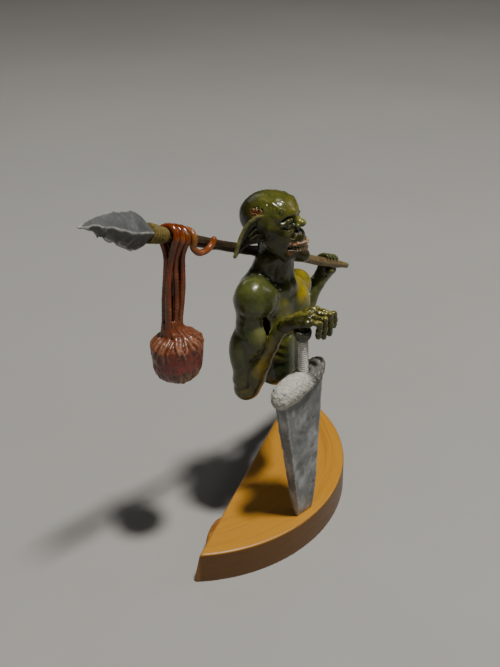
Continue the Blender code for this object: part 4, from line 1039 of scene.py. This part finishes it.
tint = blend([
    np.tile((0.160, 0.170, 0.168), (len(p), 1)),
    (soft_step(smear, 0.05, 0.8) * 0.85, (0.36, 0.37, 0.37)),
    (soft_step(-smear, 0.15, 0.9) * 0.75, (0.075, 0.078, 0.074)),
    (soft_step(fine, 0.35, 1.0) * 0.3, (0.42, 0.43, 0.42)),
    (soft_step(-fine, 0.45, 1.0) * 0.3, (0.10, 0.10, 0.10)),
    # painted highlight on ridges and painted shade in the chips and hollows
    (soft_step(-dip, 0.06, 0.3) * 0.6, (0.44, 0.45, 0.44)),
    (soft_step(dip, 0.05, 0.2) * 0.5, (0.10, 0.10, 0.10)),
    (near(p, (-9.6, -2.4, 54.0), (4.0, 4.5, 4.4)) * 0.8, (0.085, 0.09, 0.085)),
    (near(p, (1.5, -1.0, 24.0), (5.0, 5.0, 4.0)) * 0.4, (0.13, 0.135, 0.12)),
])
piece("weathered_blade", points, quads, BLADE, "figure", ("dagger_blade",), {"tint": tint})

GUARD = ((-21.0, 97.7, 3.4, 3.3), (-18.4, 98.7, 5.6, 5.2), (-12.5, 99.9, 6.2, 5.8), (-6.0, 101.2, 5.6, 5.6), (0.0, 102.8, 5.2, 5.2), (4.6, 104.8, 4.6, 4.2), (6.9, 106.8, 2.6, 2.6))
guard = Clay((-30.5, -6.5, 89.0), (14.0, 10.0, 114.0), 0.32)
for i in range(len(GUARD) - 1):
    for f in np.linspace(0, 1, 5)[: 5 if i == len(GUARD) - 2 else 4]:
        row = np.array(GUARD[i]) * (1 - f) + np.array(GUARD[i + 1]) * f
        guard.ball((row[0], 1.5, row[1]), (min(row[2], row[3]), row[3], row[2]), 1.6)
guard.ball((-20.4, 1.0, 97.0), (3.2, 4.2, 3.8), 1.4)
rand = np.random.RandomState(23)
for i in range(60):
    f = rand.uniform(0, 0.62)
    row = [np.interp(f * (len(GUARD) - 1), range(len(GUARD)), [g[k] for g in GUARD]) for k in range(4)]
    t = rand.uniform(0, 2 * math.pi)
    guard.ball((row[0], 1.5 + row[3] * 0.93 * math.cos(t), row[1] + row[2] * 0.93 * math.sin(t)), rand.uniform(0.5, 1.3), 0.6)
for x0, lean in ((-1.0, 0.2), (2.2, 0.5), (4.6, 0.7), (6.8, 0.8)):
    zc = np.interp(x0, [g[0] for g in GUARD], [g[1] for g in GUARD])
    guard.chain([(x0 - 1.4, -4.6, zc + 4.6, 0.4), (x0 + 0.2, -4.6, zc + 0.6, 0.45), (x0 + 2.0, -3.4, zc - 3.6, 0.4)], 0.8, carve=True)
guard.bar((-9.0, -4.6, 107.0), (3.0, -4.8, 98.0), 0.35, 0.35, 0.6, carve=True)
points, quads = sculpted(guard, None, 1, ((2.6, 0.20), (0.8, 0.12)), 160)
rough = 1 - soft_step(points[:, 0] + 0.5 * (points[:, 2] - 102), -4.5, -1.0)
points = points + normals_of(points, quads) * (rough * (0.16 * fbm(points, 1.0, 3, 170)) + (1 - rough) * 0.10 * noise(points * np.array([1.0, 1.0, 0.2]), 1.6, 171))[:, None]
grain = fbm(points, 0.9, 3, 175)
dip = hollowness(points, quads, 6)
tint = blend([
    np.tile((0.47, 0.46, 0.405), (len(points), 1)),
    (1 - rough, (0.135, 0.13, 0.112)),
    (soft_step(grain, 0.3, 1.0) * 0.5, (0.62, 0.60, 0.54)),
    (soft_step(-grain, 0.4, 1.1) * 0.6 * rough, (0.17, 0.16, 0.13)),
    # painted shade in hollows and painted highlight on ridges
    (soft_step(dip, 0.03, 0.18) * 0.75, (0.15, 0.145, 0.12)),
    (soft_step(-dip, 0.04, 0.2) * 0.4, (0.62, 0.61, 0.56)),
])
piece("lumpy_guard", points, quads, STONE, "figure", ("dagger_guard",), {"tint": tint})

grip = Clay((-9.6, -3.4, 104.5), (0.6, 6.6, 128.4), 0.16)
x, y, z = np.meshgrid(*grip.axes, indexing="ij")
axis = ROD_TOP - ROD_FOOT
axis = axis / np.linalg.norm(axis)
q = np.stack([x, y, z], -1) - ROD_FOOT
along = q @ axis
side_u = np.cross(axis, [0.0, 1.0, 0.0])
side_u /= np.linalg.norm(side_u)
side_v = np.cross(axis, side_u)
pu, pv = q @ side_u, q @ side_v
turn = np.arctan2(pv, pu) / (2 * math.pi)
PITCH = 1.2
phase = (along / PITCH - turn) % 1.0
coil = 2.72 - 0.50 * (np.abs(phase - 0.5) * 2) ** 2.6
d = np.maximum(np.hypot(pu, pv) - coil, np.abs(along - 98.6) - 11.2) * 0.8
grip.v = d.astype(np.float32)
points, quads = sculpted(grip, None, 1, ((1.4, 0.05),), 180)
rel = points - ROD_FOOT
out = np.hypot(rel @ side_u, rel @ side_v)
# painted shade in the gaps between the coil turns, and the painted shadow of the hand darkening the top
tint = blend([np.tile((0.86, 0.84, 0.78), (len(points), 1)), (1 - soft_step(out, 2.28, 2.46), (0.040, 0.037, 0.029)), (soft_step(fbm(points, 2.0, 2, 181), 0.2, 0.9) * 0.4, (0.56, 0.54, 0.48)), (soft_step(points[:, 2], 122.5, 126.0) * 0.6, (0.09, 0.085, 0.07))])
piece("coiled_grip", points, quads, WIRE, "figure", ("grip_wire_wrap",), {"tint": tint})

knob = Clay((-11.6, -5.0, 123.6), (2.0, 9.0, 133.2), 0.2)
for z, r in ((125.6, 2.5), (126.6, 3.0), (127.7, 3.5), (128.8, 3.7), (129.8, 3.5)):
    c = on_rod(z)
    ring = [c + r * np.array([math.cos(t), math.sin(t), 0.06 * math.sin(2 * t + z)]) for t in np.linspace(0, 2 * math.pi, 25)]
    knob.chain([(*k, 0.72) for k in ring], 0.12)
    knob.ball(c, (r, r, 0.7), 0.2)
knob.bar(on_rod(125.4), on_rod(129.6), 1.9, 2.6, 0.2)
points, quads = sculpted(knob, None, 1, ((1.2, 0.12), (0.5, 0.06)), 190)
dip = hollowness(points, quads, 5)
# the dark pommel colour is painted shadow under the palm, with painted shade in its hollows
tint = blend([np.tile((0.050, 0.044, 0.028), (len(points), 1)), (soft_step(fbm(points, 1.6, 2, 191), 0, 0.8) * 0.6, (0.10, 0.09, 0.065)), (soft_step(dip, 0.0, 0.1), (0.02, 0.018, 0.014))])
piece("wrapped_pommel", points, quads, SHADED_POMMEL, "figure", ("pommel",), {"tint": tint})


# ------------------------------------------------------------------ spear
def spear_at(distance, up=0.0, front=0.0):
    """A point this far from the tip, in mm."""
    return SPEAR_TIP - SPEAR_WAY * distance + SPEAR_UP * up + SPEAR_FRONT * front


rows = np.linspace(38.0, SPEAR_LENGTH - 0.8, 420)
gripped = np.exp(-(((rows - 0.900 * SPEAR_LENGTH) / 19.0) ** 6))
line = np.array([spear_at(t, 0.28 * math.sin(t / 23.0) * (t > 70) * (1 - calm), 0.2 * math.sin(t / 31.0 + 1) * (1 - calm)) for t, calm in zip(rows, gripped)])
thick = 2.55 + 0.12 * np.sin(rows / 9.0) + 0.10 * np.sin(rows / 4.1 + 2)
thick = thick * (1 - 0.34 * soft_step(rows, SPEAR_LENGTH - 16, SPEAR_LENGTH - 1))
for knot in (84.0, 118.0, 176.0, 193.0):
    thick = thick + 0.28 * np.exp(-(((rows - knot) / 2.4) ** 2))
thick = np.minimum(thick, 2.84 - 0.32 * gripped)
points, tris = closed_tube(line, thick, 40)
normal = tri_normals(points, tris)
far = (SPEAR_TIP - points) @ SPEAR_WAY
around = np.arctan2((points - SPEAR_TIP) @ SPEAR_FRONT, (points - SPEAR_TIP) @ SPEAR_UP)
bark = np.stack([3.0 * np.cos(around), 3.0 * np.sin(around), far * 0.12], 1)
groove = fbm(bark, 1.0, 3, 200)
held = np.exp(-(((far - 0.900 * SPEAR_LENGTH) / 11.0) ** 4))
points = points + normal * (groove * 0.14 * (1 - held) - 0.06)[:, None]
pale = soft_step(far, 118, 172)
tint = blend([
    np.tile((0.030, 0.018, 0.006), (len(points), 1)),
    (pale, (0.19, 0.125, 0.047)),
    (soft_step(groove, 0.1, 0.9) * 0.5, (0.085, 0.052, 0.018)),
    (soft_step(-groove, 0.1, 0.8) * 0.65, (0.022, 0.014, 0.006)),
    (soft_step(fbm(points, 9.0, 2, 203), 0.1, 0.8) * 0.35 * pale, (0.10, 0.10, 0.025)),
    (soft_step(far, SPEAR_LENGTH - 9, SPEAR_LENGTH - 2) * 0.7, (0.16, 0.155, 0.045)),
])
piece("stick_shaft", points, tris, SHAFT, "spear", ("spear_shaft",), {"tint": tint})

FLAT = 0.94 * SPEAR_UP - 0.34 * SPEAR_FRONT
FLAT /= np.linalg.norm(FLAT)
BROAD = np.cross(SPEAR_WAY, FLAT)
if BROAD @ SPEAR_FRONT < 0:
    BROAD = -BROAD
HEAD_ROWS = ((0.0, 0.2, 0.3), (4.0, 2.6, 1.4), (10.0, 4.7, 2.7), (17.0, 6.6, 3.5), (22.0, 7.7, 4.0), (26.0, 8.6, 4.4), (29.5, 9.4, 4.6), (33.0, 8.2, 4.7), (36.6, 6.5, 4.6), (40.2, 4.0, 4.3))
corners = np.array([spear_at(t, u, f) for t in (0, 42) for u in (-10.5, 10.5) for f in (-6.0, 6.0)])
flint = Clay(corners.min(0), corners.max(0), 0.4)
x, y, z = np.meshgrid(*flint.axes, indexing="ij")
q = SPEAR_TIP - np.stack([x.ravel(), y.ravel(), z.ravel()], 1)
t = q @ SPEAR_WAY
u, w = -(q @ FLAT), -(q @ BROAD)
droop = 2.4 * np.maximum(0, 1 - t / 24.0) ** 2
u = u + droop
ridge = -0.16 * between(t, HEAD_ROWS, 1) + 0.06 * between(t, HEAD_ROWS, 1) * np.sin(t / 5.0)
span, deep = between(t, HEAD_ROWS, 1) - 0.15, between(t, HEAD_ROWS, 2)
nick = fbm(np.stack([t, (u > 0) * 50.0, 0 * t], 1), 6.0, 3, 210)
span = span - 0.5 * np.maximum(nick, 0) * np.minimum(1, t / 8.0)
span = np.where(u > ridge, span - ridge, span + ridge)
d = (np.abs(u - ridge) / np.maximum(span, 0.05) + np.abs(w) / np.maximum(deep, 0.05) - 1) * (span * deep / np.hypot(span, deep))
d = np.maximum(d, np.maximum(t - 39.8, -t + 0.2))
flint.v = d.reshape(x.shape).astype(np.float32)
rand = np.random.RandomState(29)
for i in range(46):
    t0 = rand.uniform(4, 36)
    way = 1 if i % 2 else -1
    face = 1 if rand.uniform() < 0.6 else -1
    size = rand.uniform(3.0, 6.5)
    wide = np.interp(t0, [r[0] for r in HEAD_ROWS], [r[1] for r in HEAD_ROWS])
    deep0 = np.interp(t0, [r[0] for r in HEAD_ROWS], [r[2] for r in HEAD_ROWS])
    share = rand.uniform(0.45, 0.95)
    out = np.array([wide * share * way, deep0 * (1 - share) * face])
    slope = np.array([way * deep0, face * wide]) / math.hypot(wide, deep0)
    out = out + slope * (size - rand.uniform(0.25, 0.55))
    flint.ball(SPEAR_TIP - SPEAR_WAY * t0 + FLAT * out[0] + BROAD * out[1], size, 0.35, carve=True)
points, quads = sculpted(flint, None, 2, ((3.0, 0.10), (1.2, 0.03)), 220)
dip = hollowness(points, quads, 8)
cloud = fbm(points, 5.0, 3, 222)
# painted shade on the lower face of the spearhead
below = soft_step(-(points - SPEAR_TIP) @ FLAT, 0.2, 4.0)
tint = blend([
    np.tile((0.092, 0.097, 0.098), (len(points), 1)),
    (soft_step(cloud, 0.1, 0.9) * 0.45, (0.15, 0.155, 0.152)),
    (soft_step(-cloud, 0.2, 0.9) * 0.6, (0.05, 0.052, 0.05)),
    (below * 0.6, (0.030, 0.029, 0.024)),
    (soft_step(-dip, 0.04, 0.22) * 0.7, (0.40, 0.40, 0.37)),
    # painted shade in the hollows of the flakes
    (soft_step(dip, 0.03, 0.14) * 0.5, (0.04, 0.04, 0.038)),
])
piece("knapped_head", points, quads, FLINT, "spear", ("spear_head",), {"tint": tint})

wrap = Clay(np.array([spear_at(t, u, f) for t in (38, 53) for u in (-6, 6) for f in (-6, 6)]).min(0), np.array([spear_at(t, u, f) for t in (38, 53) for u in (-6, 6) for f in (-6, 6)]).max(0), 0.2)
x, y, z = np.meshgrid(*wrap.axes, indexing="ij")
q = SPEAR_TIP - np.stack([x, y, z], -1)
t, pu, pf = q @ SPEAR_WAY, -(q @ SPEAR_UP), -(q @ SPEAR_FRONT)
phase = ((t - 39.8) / 1.78 - np.arctan2(pf, pu) / (2 * math.pi)) % 1.0
cone = 4.6 - 1.0 * np.clip((t - 39.8) / 10.7, 0, 1)
hill = np.sqrt(np.maximum(0.0, 1 - (np.abs(phase - 0.5) * 2) ** 2))
d = np.maximum(np.hypot(pu, pf) - (cone - 0.62 + 0.66 * hill), np.abs(t - 44.75) - 5.0) * 0.75
wrap.v = d.astype(np.float32)
points, quads = sculpted(wrap, None, 1, ((1.5, 0.10), (0.5, 0.06)), 230)
dip = hollowness(points, quads, 6)
# painted shade between the turns of cord
tint = blend([np.tile((0.135, 0.092, 0.012), (len(points), 1)), (soft_step(fbm(points, 1.2, 3, 231), 0.0, 0.9) * 0.6, (0.22, 0.155, 0.028)), (soft_step(dip, 0.0, 0.1) * 0.9, (0.035, 0.024, 0.007)), (soft_step(fbm(points, 4.0, 2, 233), 0.1, 0.8) * 0.4, (0.08, 0.07, 0.010))])
piece("cord_binding", points, quads, CORD, "spear", ("spear_binding",), {"tint": tint})


# ------------------------------------------------------------------ trophy on its strands
WRAP = on_spear(0.2693)
BULB_AT = np.array([-51.0, 39.7])


def over_shaft(along, degrees, radius=4.35):
    """Round the shaft at the trophy: 0 behind, 90 above, 180 in front."""
    a = math.radians(degrees)
    return WRAP - SPEAR_WAY * along + radius * (-SPEAR_FRONT * math.cos(a) + SPEAR_UP * math.sin(a))


def sinew_tint(points, quads, seed):
    dip = hollowness(points, quads, 8)
    lot = fbm(points * np.array([1.0, 1.0, 0.35]), 3.0, 3, seed)
    return blend([
        np.tile((0.165, 0.030, 0.003), (len(points), 1)),
        (soft_step(lot, 0.1, 0.9) * 0.7, (0.25, 0.060, 0.015)),
        (soft_step(-lot, 0.1, 0.9) * 0.6, (0.08, 0.018, 0.003)),
        (soft_step(fbm(points, 6.0, 2, seed + 3), 0.2, 0.9) * 0.5, (0.20, 0.075, 0.012)),
        # painted shade in the gaps between strands
        (soft_step(dip, 0.02, 0.15) * 0.8, (0.045, 0.012, 0.004)),
    ])


def curve(knots, count):
    """Points on a smooth line through the knots."""
    k = np.array([knots[0], *knots, knots[-1]], float)
    out = []
    for t in np.linspace(0, len(knots) - 1.0001, count):
        i = int(t)
        f = t - i
        a, b, c, d = k[i : i + 4]
        out.append(0.5 * (2 * b + (c - a) * f + (2 * a - 5 * b + 4 * c - d) * f**2 + (3 * b - a - 3 * c + d) * f**3))
    return np.array(out)


for n, along in enumerate((-3.6, 0.0, 3.6)):
    foot = np.array([BULB_AT[0] - 1.4 + (1.08 if along < 0 else 0.86) * along, BULB_AT[1] + 1.3, 130.0])
    knee = WRAP - SPEAR_WAY * along - np.array([0, 0, 11.0])
    bow = (foot + knee) / 2 + np.array([0.16 * along, 0, 0])
    clay = Clay((-64.0, 31.0, 127.0), (-36.0, 50.0, 188.0), 0.34)
    slant = 2.0
    ring = [over_shaft(along + slant * (d - 90) / 180.0, d, 4.4) for d in np.linspace(-6, 186, 17)]
    clay.chain([(*q, r) for q, r in zip(ring, 1.45 + 0.10 * np.sin(np.arange(17) * 0.8 + n))], 0.4)
    for end, sign, phase in ((ring[-1], -1, 0.0), (ring[0], 1, 2.0)):
        leg = curve([end, knee + np.array([0, 1.5 * sign, 0]), bow + np.array([0, 1.5 * sign, 0]), foot + np.array([0, 1.5 * sign, 0])], 34)
        rows = []
        for f, at in zip(np.linspace(0, 1, 34), leg):
            swell = math.sin(math.pi * f)
            at = at + np.array([0.45 * swell * math.sin(8.0 * f + phase + 2.1 * n), 0.2 * swell * math.sin(6.0 * f + n + phase), 0.0])
            rows.append((*at, 1.38 + 0.12 * math.sin(10.0 * f + n + phase) + 0.7 * (max(0.0, f - 0.80) / 0.20) ** 2))
        clay.chain(rows, 0.35)
    clay.bar(on_spear(0.2), on_spear(0.4), 2.95, 2.95, 0.1, carve=True)
    points, quads = sculpted(clay, None, 2, ((5.0, 0.10), (1.2, 0.03)), 240 + n)
    piece(f"sinew_loop_{n + 1}", points, quads, SINEW, "trophy", (f"strand_loop_{n + 1}",), {"tint": sinew_tint(points, quads, 250 + n)})

tail = [over_shaft(6.9 + 3.2 * d / 210, d, 4.35) for d in np.linspace(0, 210, 15)]
tail += list(curve([tail[-1], *(WRAP - SPEAR_WAY * a + SPEAR_UP * u + SPEAR_FRONT * f for a, u, f in ((11.2, -3.6, 4.4), (14.4, -4.4, 4.9), (18.8, -2.6, 5.0), (21.2, 0.2, 4.9), (21.8, 2.8, 4.7)))], 26))[1:]
clay = Clay(np.min(tail, axis=0) - 3, np.max(tail, axis=0) + 3, 0.28)
clay.chain([(*q, 1.4) for q in tail], 0.3)
clay.bar(on_spear(0.2), on_spear(0.45), 2.95, 2.95, 0.1, carve=True)
points, quads = sculpted(clay, None, 2, ((2.8, 0.06),), 260)
piece("sinew_tail", points, quads, SINEW, "trophy", ("tail_strand",), {"tint": sinew_tint(points, quads, 262) * np.array([1.35, 1.75, 2.6])})

BULB_ROWS = ((105.2, 0.6, 0.6), (106.2, 3.7, 3.5), (108.0, 7.1, 6.6), (111.5, 10.6, 9.6), (116.5, 12.5, 10.9), (122.0, 12.9, 11.2), (127.0, 12.3, 10.6), (129.4, 10.2, 8.8), (130.6, 7.0, 6.0), (131.3, 4.0, 3.6))
bulb = Clay((-65.5, 26.5, 102.5), (-36.5, 53.0, 142.0), 0.33)
x, y, z = np.meshgrid(*bulb.axes, indexing="ij")
a, b = between(z, BULB_ROWS, 1), between(z, BULB_ROWS, 2)
k = np.hypot((x - BULB_AT[0]) / a, (y - BULB_AT[1]) / b)
d = (k - 1) * np.minimum(a, b) * 0.8
d = np.maximum(d, np.maximum(105.2 - z, z - 131.3))
bulb.v = d.astype(np.float32)
rand = np.random.RandomState(31)


def on_bulb(angle, z, out=0.0):
    return np.array([BULB_AT[0] + (np.interp(z, [r[0] for r in BULB_ROWS], [r[1] for r in BULB_ROWS]) + out) * math.sin(angle), BULB_AT[1] - (np.interp(z, [r[0] for r in BULB_ROWS], [r[2] for r in BULB_ROWS]) + out) * math.cos(angle), z])


roots = []
for i in range(34):
    angle = 2 * math.pi * i / 34 + rand.uniform(-0.08, 0.08)
    wave, lean = rand.uniform(0, 6.28), rand.uniform(-0.3, 0.3)
    end = rand.uniform(118.5, 125.0)
    big = 0.72 if i % 5 == 0 else rand.uniform(0.36, 0.55)
    wide = np.array([math.sin(angle), -math.cos(angle), 0.0])
    knots = [np.array([BULB_AT[0] - 1.4, BULB_AT[1] + 1.3, 139.0]) + wide * np.array([4.4, 2.4, 0]), np.array([BULB_AT[0] - 1.2, BULB_AT[1] + 0.8, 134.6]) + wide * np.array([5.0, 3.4, 0]), on_bulb(angle, 130.9, 0.5) * np.array([1, 1, 0]) + np.array([0, 0, 131.4]), on_bulb(angle + 0.3 * lean, 129.6, 0.2), on_bulb(angle + 0.6 * lean + 0.05 * math.sin(wave), 127.0, 0.25), on_bulb(angle + lean, (127.0 + end) / 2, 0.1), on_bulb(angle + lean + 0.06 * math.sin(wave + 2), end, -0.1)]
    root = [(*q, big * (0.75 + 0.9 * min(1.0, f * 4.0) - 1.35 * max(0.0, f - 0.25))) for f, q in zip(np.linspace(0, 1, 30), curve(knots, 30))]
    bulb.chain(root, 0.45)
    roots.append(np.array(root))
knots = [np.array([BULB_AT[0] + 1.0, BULB_AT[1] - 1.0, 133.6]), on_bulb(0.75, 130.6, 0.4), on_bulb(1.05, 129.0, 0.6), on_bulb(1.3, 126.4, 0.3), on_bulb(1.42, 123.0, -0.2)]
root = [(*q, 1.5 - 0.9 * f) for f, q in zip(np.linspace(0, 1, 24), curve(knots, 24))]
bulb.chain(root, 0.4)
roots.append(np.array(root))
for i in range(64):
    angle = 2 * math.pi * i / 64 + rand.uniform(-0.05, 0.05)
    z0, z1 = rand.uniform(114, 119), rand.uniform(105.6, 109.5)
    bulb.chain([(*on_bulb(angle + 0.05 * math.sin(5 * f + i), z0 * (1 - f) + z1 * f, -0.1), 0.55 * math.sin(math.pi * (0.12 + 0.8 * f))) for f in np.linspace(0, 1, 8)], 0.5)
points, quads = sculpted(bulb, None, 2, ((3.0, 0.18), (0.8, 0.06)), 270)
p = points
angle = np.arctan2(p[:, 0] - BULB_AT[0], BULB_AT[1] - p[:, 1])
streak = fbm(np.stack([9.0 * np.cos(angle), 9.0 * np.sin(angle), p[:, 2] * 0.16], 1), 1.3, 3, 280)
dip = hollowness(points, quads, 8)
gap = np.full(len(p), 9.0)
for root in roots:
    for q in root[3:]:
        gap = np.minimum(gap, np.linalg.norm(p - q[:3], axis=1) - q[3])
lower = soft_step(-(p[:, 2] + 1.6 * streak), -118.5, -112.0)
tint = blend([
    np.tile((0.155, 0.019, 0.008), (len(p), 1)),
    (soft_step(p[:, 2], 124, 130) * 0.8, (0.165, 0.048, 0.012)),
    (near(p, (BULB_AT[0], BULB_AT[1] - 4, 117.5), (30, 30, 5.0)) * 0.75, (0.21, 0.034, 0.027)),
    (lower * 0.85, (0.14, 0.055, 0.032)),
    (lower * soft_step(streak, 0.0, 0.7) * 0.8, (0.34, 0.23, 0.16)),
    (soft_step(-streak, 0.2, 0.9) * 0.6, (0.12, 0.03, 0.014)),
    # pale upper roots: root colour with a painted highlight
    ((1 - soft_step(gap, 0.1, 0.35)) * soft_step(-p[:, 2], -132.5, -129) * soft_step(p[:, 2] + 2.0 * noise(p, 3.0, 285), 120, 126) * 0.5, (0.34, 0.17, 0.09)),
    # painted shade in the hollows of the bulb
    (soft_step(dip, 0.03, 0.2) * 0.75, (0.05, 0.012, 0.006)),
])
piece("trophy_head_bulb", points, quads, BULB, "trophy", ("trophy_bulb",), {"tint": tint})


# ------------------------------------------------------------------ wooden base
CENTRE, RIM = np.array([-7.4, 81.4]), 88.0
CHORD_AT, CHORD = np.array([-59.4, 16.7]), math.radians(25.4)
along = np.array([math.cos(CHORD), math.sin(CHORD)])
away = np.array([-math.sin(CHORD), math.cos(CHORD)])
slab = Clay((-66.0, -9.5, -1.2), (84.0, 92.0, 19.4), 0.6)
x, y, z = np.meshgrid(*slab.axes, indexing="ij")
round_side = np.hypot(x - CENTRE[0], y - CENTRE[1]) - RIM - 0.5 * (1 - np.clip(z / 18.0, 0, 1))
chord_side = (x - CHORD_AT[0]) * away[0] + (y - CHORD_AT[1]) * away[1] - 3.0 * (1 - z / 18.0)
BEVEL = 1.3
side = -smooth_min(-(round_side + BEVEL), -(chord_side + BEVEL), 1.2)
flat = np.maximum(z - 18.0 + BEVEL, BEVEL * 0.5 - z)
d = np.where((side > 0) & (flat > 0), np.hypot(np.maximum(side, 0), np.maximum(flat, 0)), np.maximum(side, flat)) - BEVEL
d = np.maximum(d, -z)
slab.v = d.astype(np.float32)
turned = np.array([[along[0], -along[1], 0], [along[1], along[0], 0], [0, 0, 1.0]])
slab.ball((-41.0, 27.6, 8.6), (11.0, 3.2, 5.8), 0.8, turned)
slab.ball((-41.4, 28.2, 14.6), (7.4, 2.0, 1.8), 0.8, turned, carve=True)
slab.v = np.maximum(slab.v, 0.02 - z).astype(np.float32)
points, quads = slab.mesh()
keep = points[:, 2] < 0.45
points = relax(points, quads, 2)
points[keep, 2] = 0.02
radial = np.hypot(points[:, 0] - CENTRE[0], points[:, 1] - CENTRE[1])
polar = np.arctan2(points[:, 1] - CENTRE[1], points[:, 0] - CENTRE[0]) * 70.0
wander = 1.8 * noise(points, 26.0, 300) + 0.7 * noise(points, 9.0, 301)
grain_at = np.stack([radial + wander, polar * 0.035, points[:, 2] * 0.22], 1)
chordness = soft_step((points[:, :2] - CHORD_AT) @ away, -1.2, 0.6)
bump_near = near(points, (-41.0, 28.6, 9.6), (13, 5.5, 9)) * soft_step((points[:, :2] - CHORD_AT) @ away, 0.6, 1.6)


def wood_material():
    m = Nodes("honey_wood")
    where = m.layer("grain")

    def at(scale, detail, rough=0.55):
        node = m.add("ShaderNodeTexNoise")
        m.t.links.new(where, node.inputs["Vector"])
        node.inputs["Scale"].default_value = scale
        node.inputs["Detail"].default_value = detail
        node.inputs["Roughness"].default_value = rough
        return node.outputs["Fac"]

    bands = m.ramp(at(0.22, 2.0), [(0.30, (0.40, 0.170, 0.011)), (0.5, (0.49, 0.225, 0.017)), (0.70, (0.44, 0.195, 0.014))])
    fine = m.ramp(at(1.9, 4.0, 0.6), [(0.30, (0.90, 0.87, 0.82)), (0.52, (1.0, 1.0, 1.0)), (0.75, (1.04, 1.04, 1.05))])
    colour = m.mix(1.0, bands, fine, "MULTIPLY")
    rings = m.grey(at(0.5, 1.0), 0.53, 0.62)
    colour = m.mix(m.sums(rings, 0.14), colour, (0.42, 0.185, 0.024))
    pores = m.grey(m.noise(900.0, 2.0, 0.5, 0.0, ((0, 0, 0), (1.0, 1.0, 1.0))), 0.68, 0.80)
    colour = m.mix(m.sums(pores, 0.15), colour, (0.34, 0.15, 0.02))
    colour = m.mix(1.0, colour, m.layer("tone"), "MULTIPLY")
    return m.done(colour, m.grey(at(2.0, 3.0), 0.3, 0.7, 0.36, 0.52), m.bump(at(2.6, 4.0), 0.22, 0.0004), Coat_Weight=0.12, Coat_Roughness=0.3)


# painted shade on the side walls, and a painted highlight along the rim of the top
wall_shade = soft_step(np.abs(normals_of(points, quads)[:, 2]), 0.9, 0.3)
tone = blend([np.tile((1.0, 1.0, 1.0), (len(points), 1)), (wall_shade * 0.9, (0.19, 0.155, 0.09)), (chordness * 0.6, (0.72, 0.64, 0.5)), (bump_near, (0.50, 0.36, 0.24)), ((1 - soft_step(np.abs(radial - RIM + 3.4 + 0.4 * wander), 0.15, 0.7)) * (1 - wall_shade) * 0.5, (1.12, 1.12, 1.15)), (1 - soft_step(np.abs(radial - RIM + 6.0 + 0.5 * wander), 0.1, 0.5), (0.84, 0.80, 0.70))])
piece("half_moon_base", points, quads, wood_material(), "figure", ("wood_base",), {"grain": grain_at, "tone": tone})


# ------------------------------------------------------------------ the inner parts that stay as they are
def metal(name, low, high, rough, scale):
    m = Nodes(name)
    return m.done(m.ramp(m.noise(scale, 4.0), [(0.3, low), (0.7, high)]), m.grey(m.noise(scale * 2), 0.3, 0.7, rough, rough + 0.2), m.bump(m.noise(scale * 3), 0.3, 0.0003), Metallic=1.0)


STEEL = metal("brushed_rod", (0.42, 0.42, 0.41), (0.56, 0.56, 0.55), 0.25, 300.0)
FOIL = metal("crumpled_foil", (0.55, 0.55, 0.54), (0.80, 0.80, 0.79), 0.25, 250.0)
ARMATURE = metal("armature_wire", (0.45, 0.45, 0.45), (0.62, 0.62, 0.62), 0.3, 500.0)
for names, material in ((("support_rod",), STEEL), (("torso_core", "head_core"), FOIL), (("neck_wire", "right_arm_wire", "left_arm_wire"), ARMATURE)):
    for name in names:
        slots = nodes[name].data.materials
        slots.clear()
        slots.append(material)
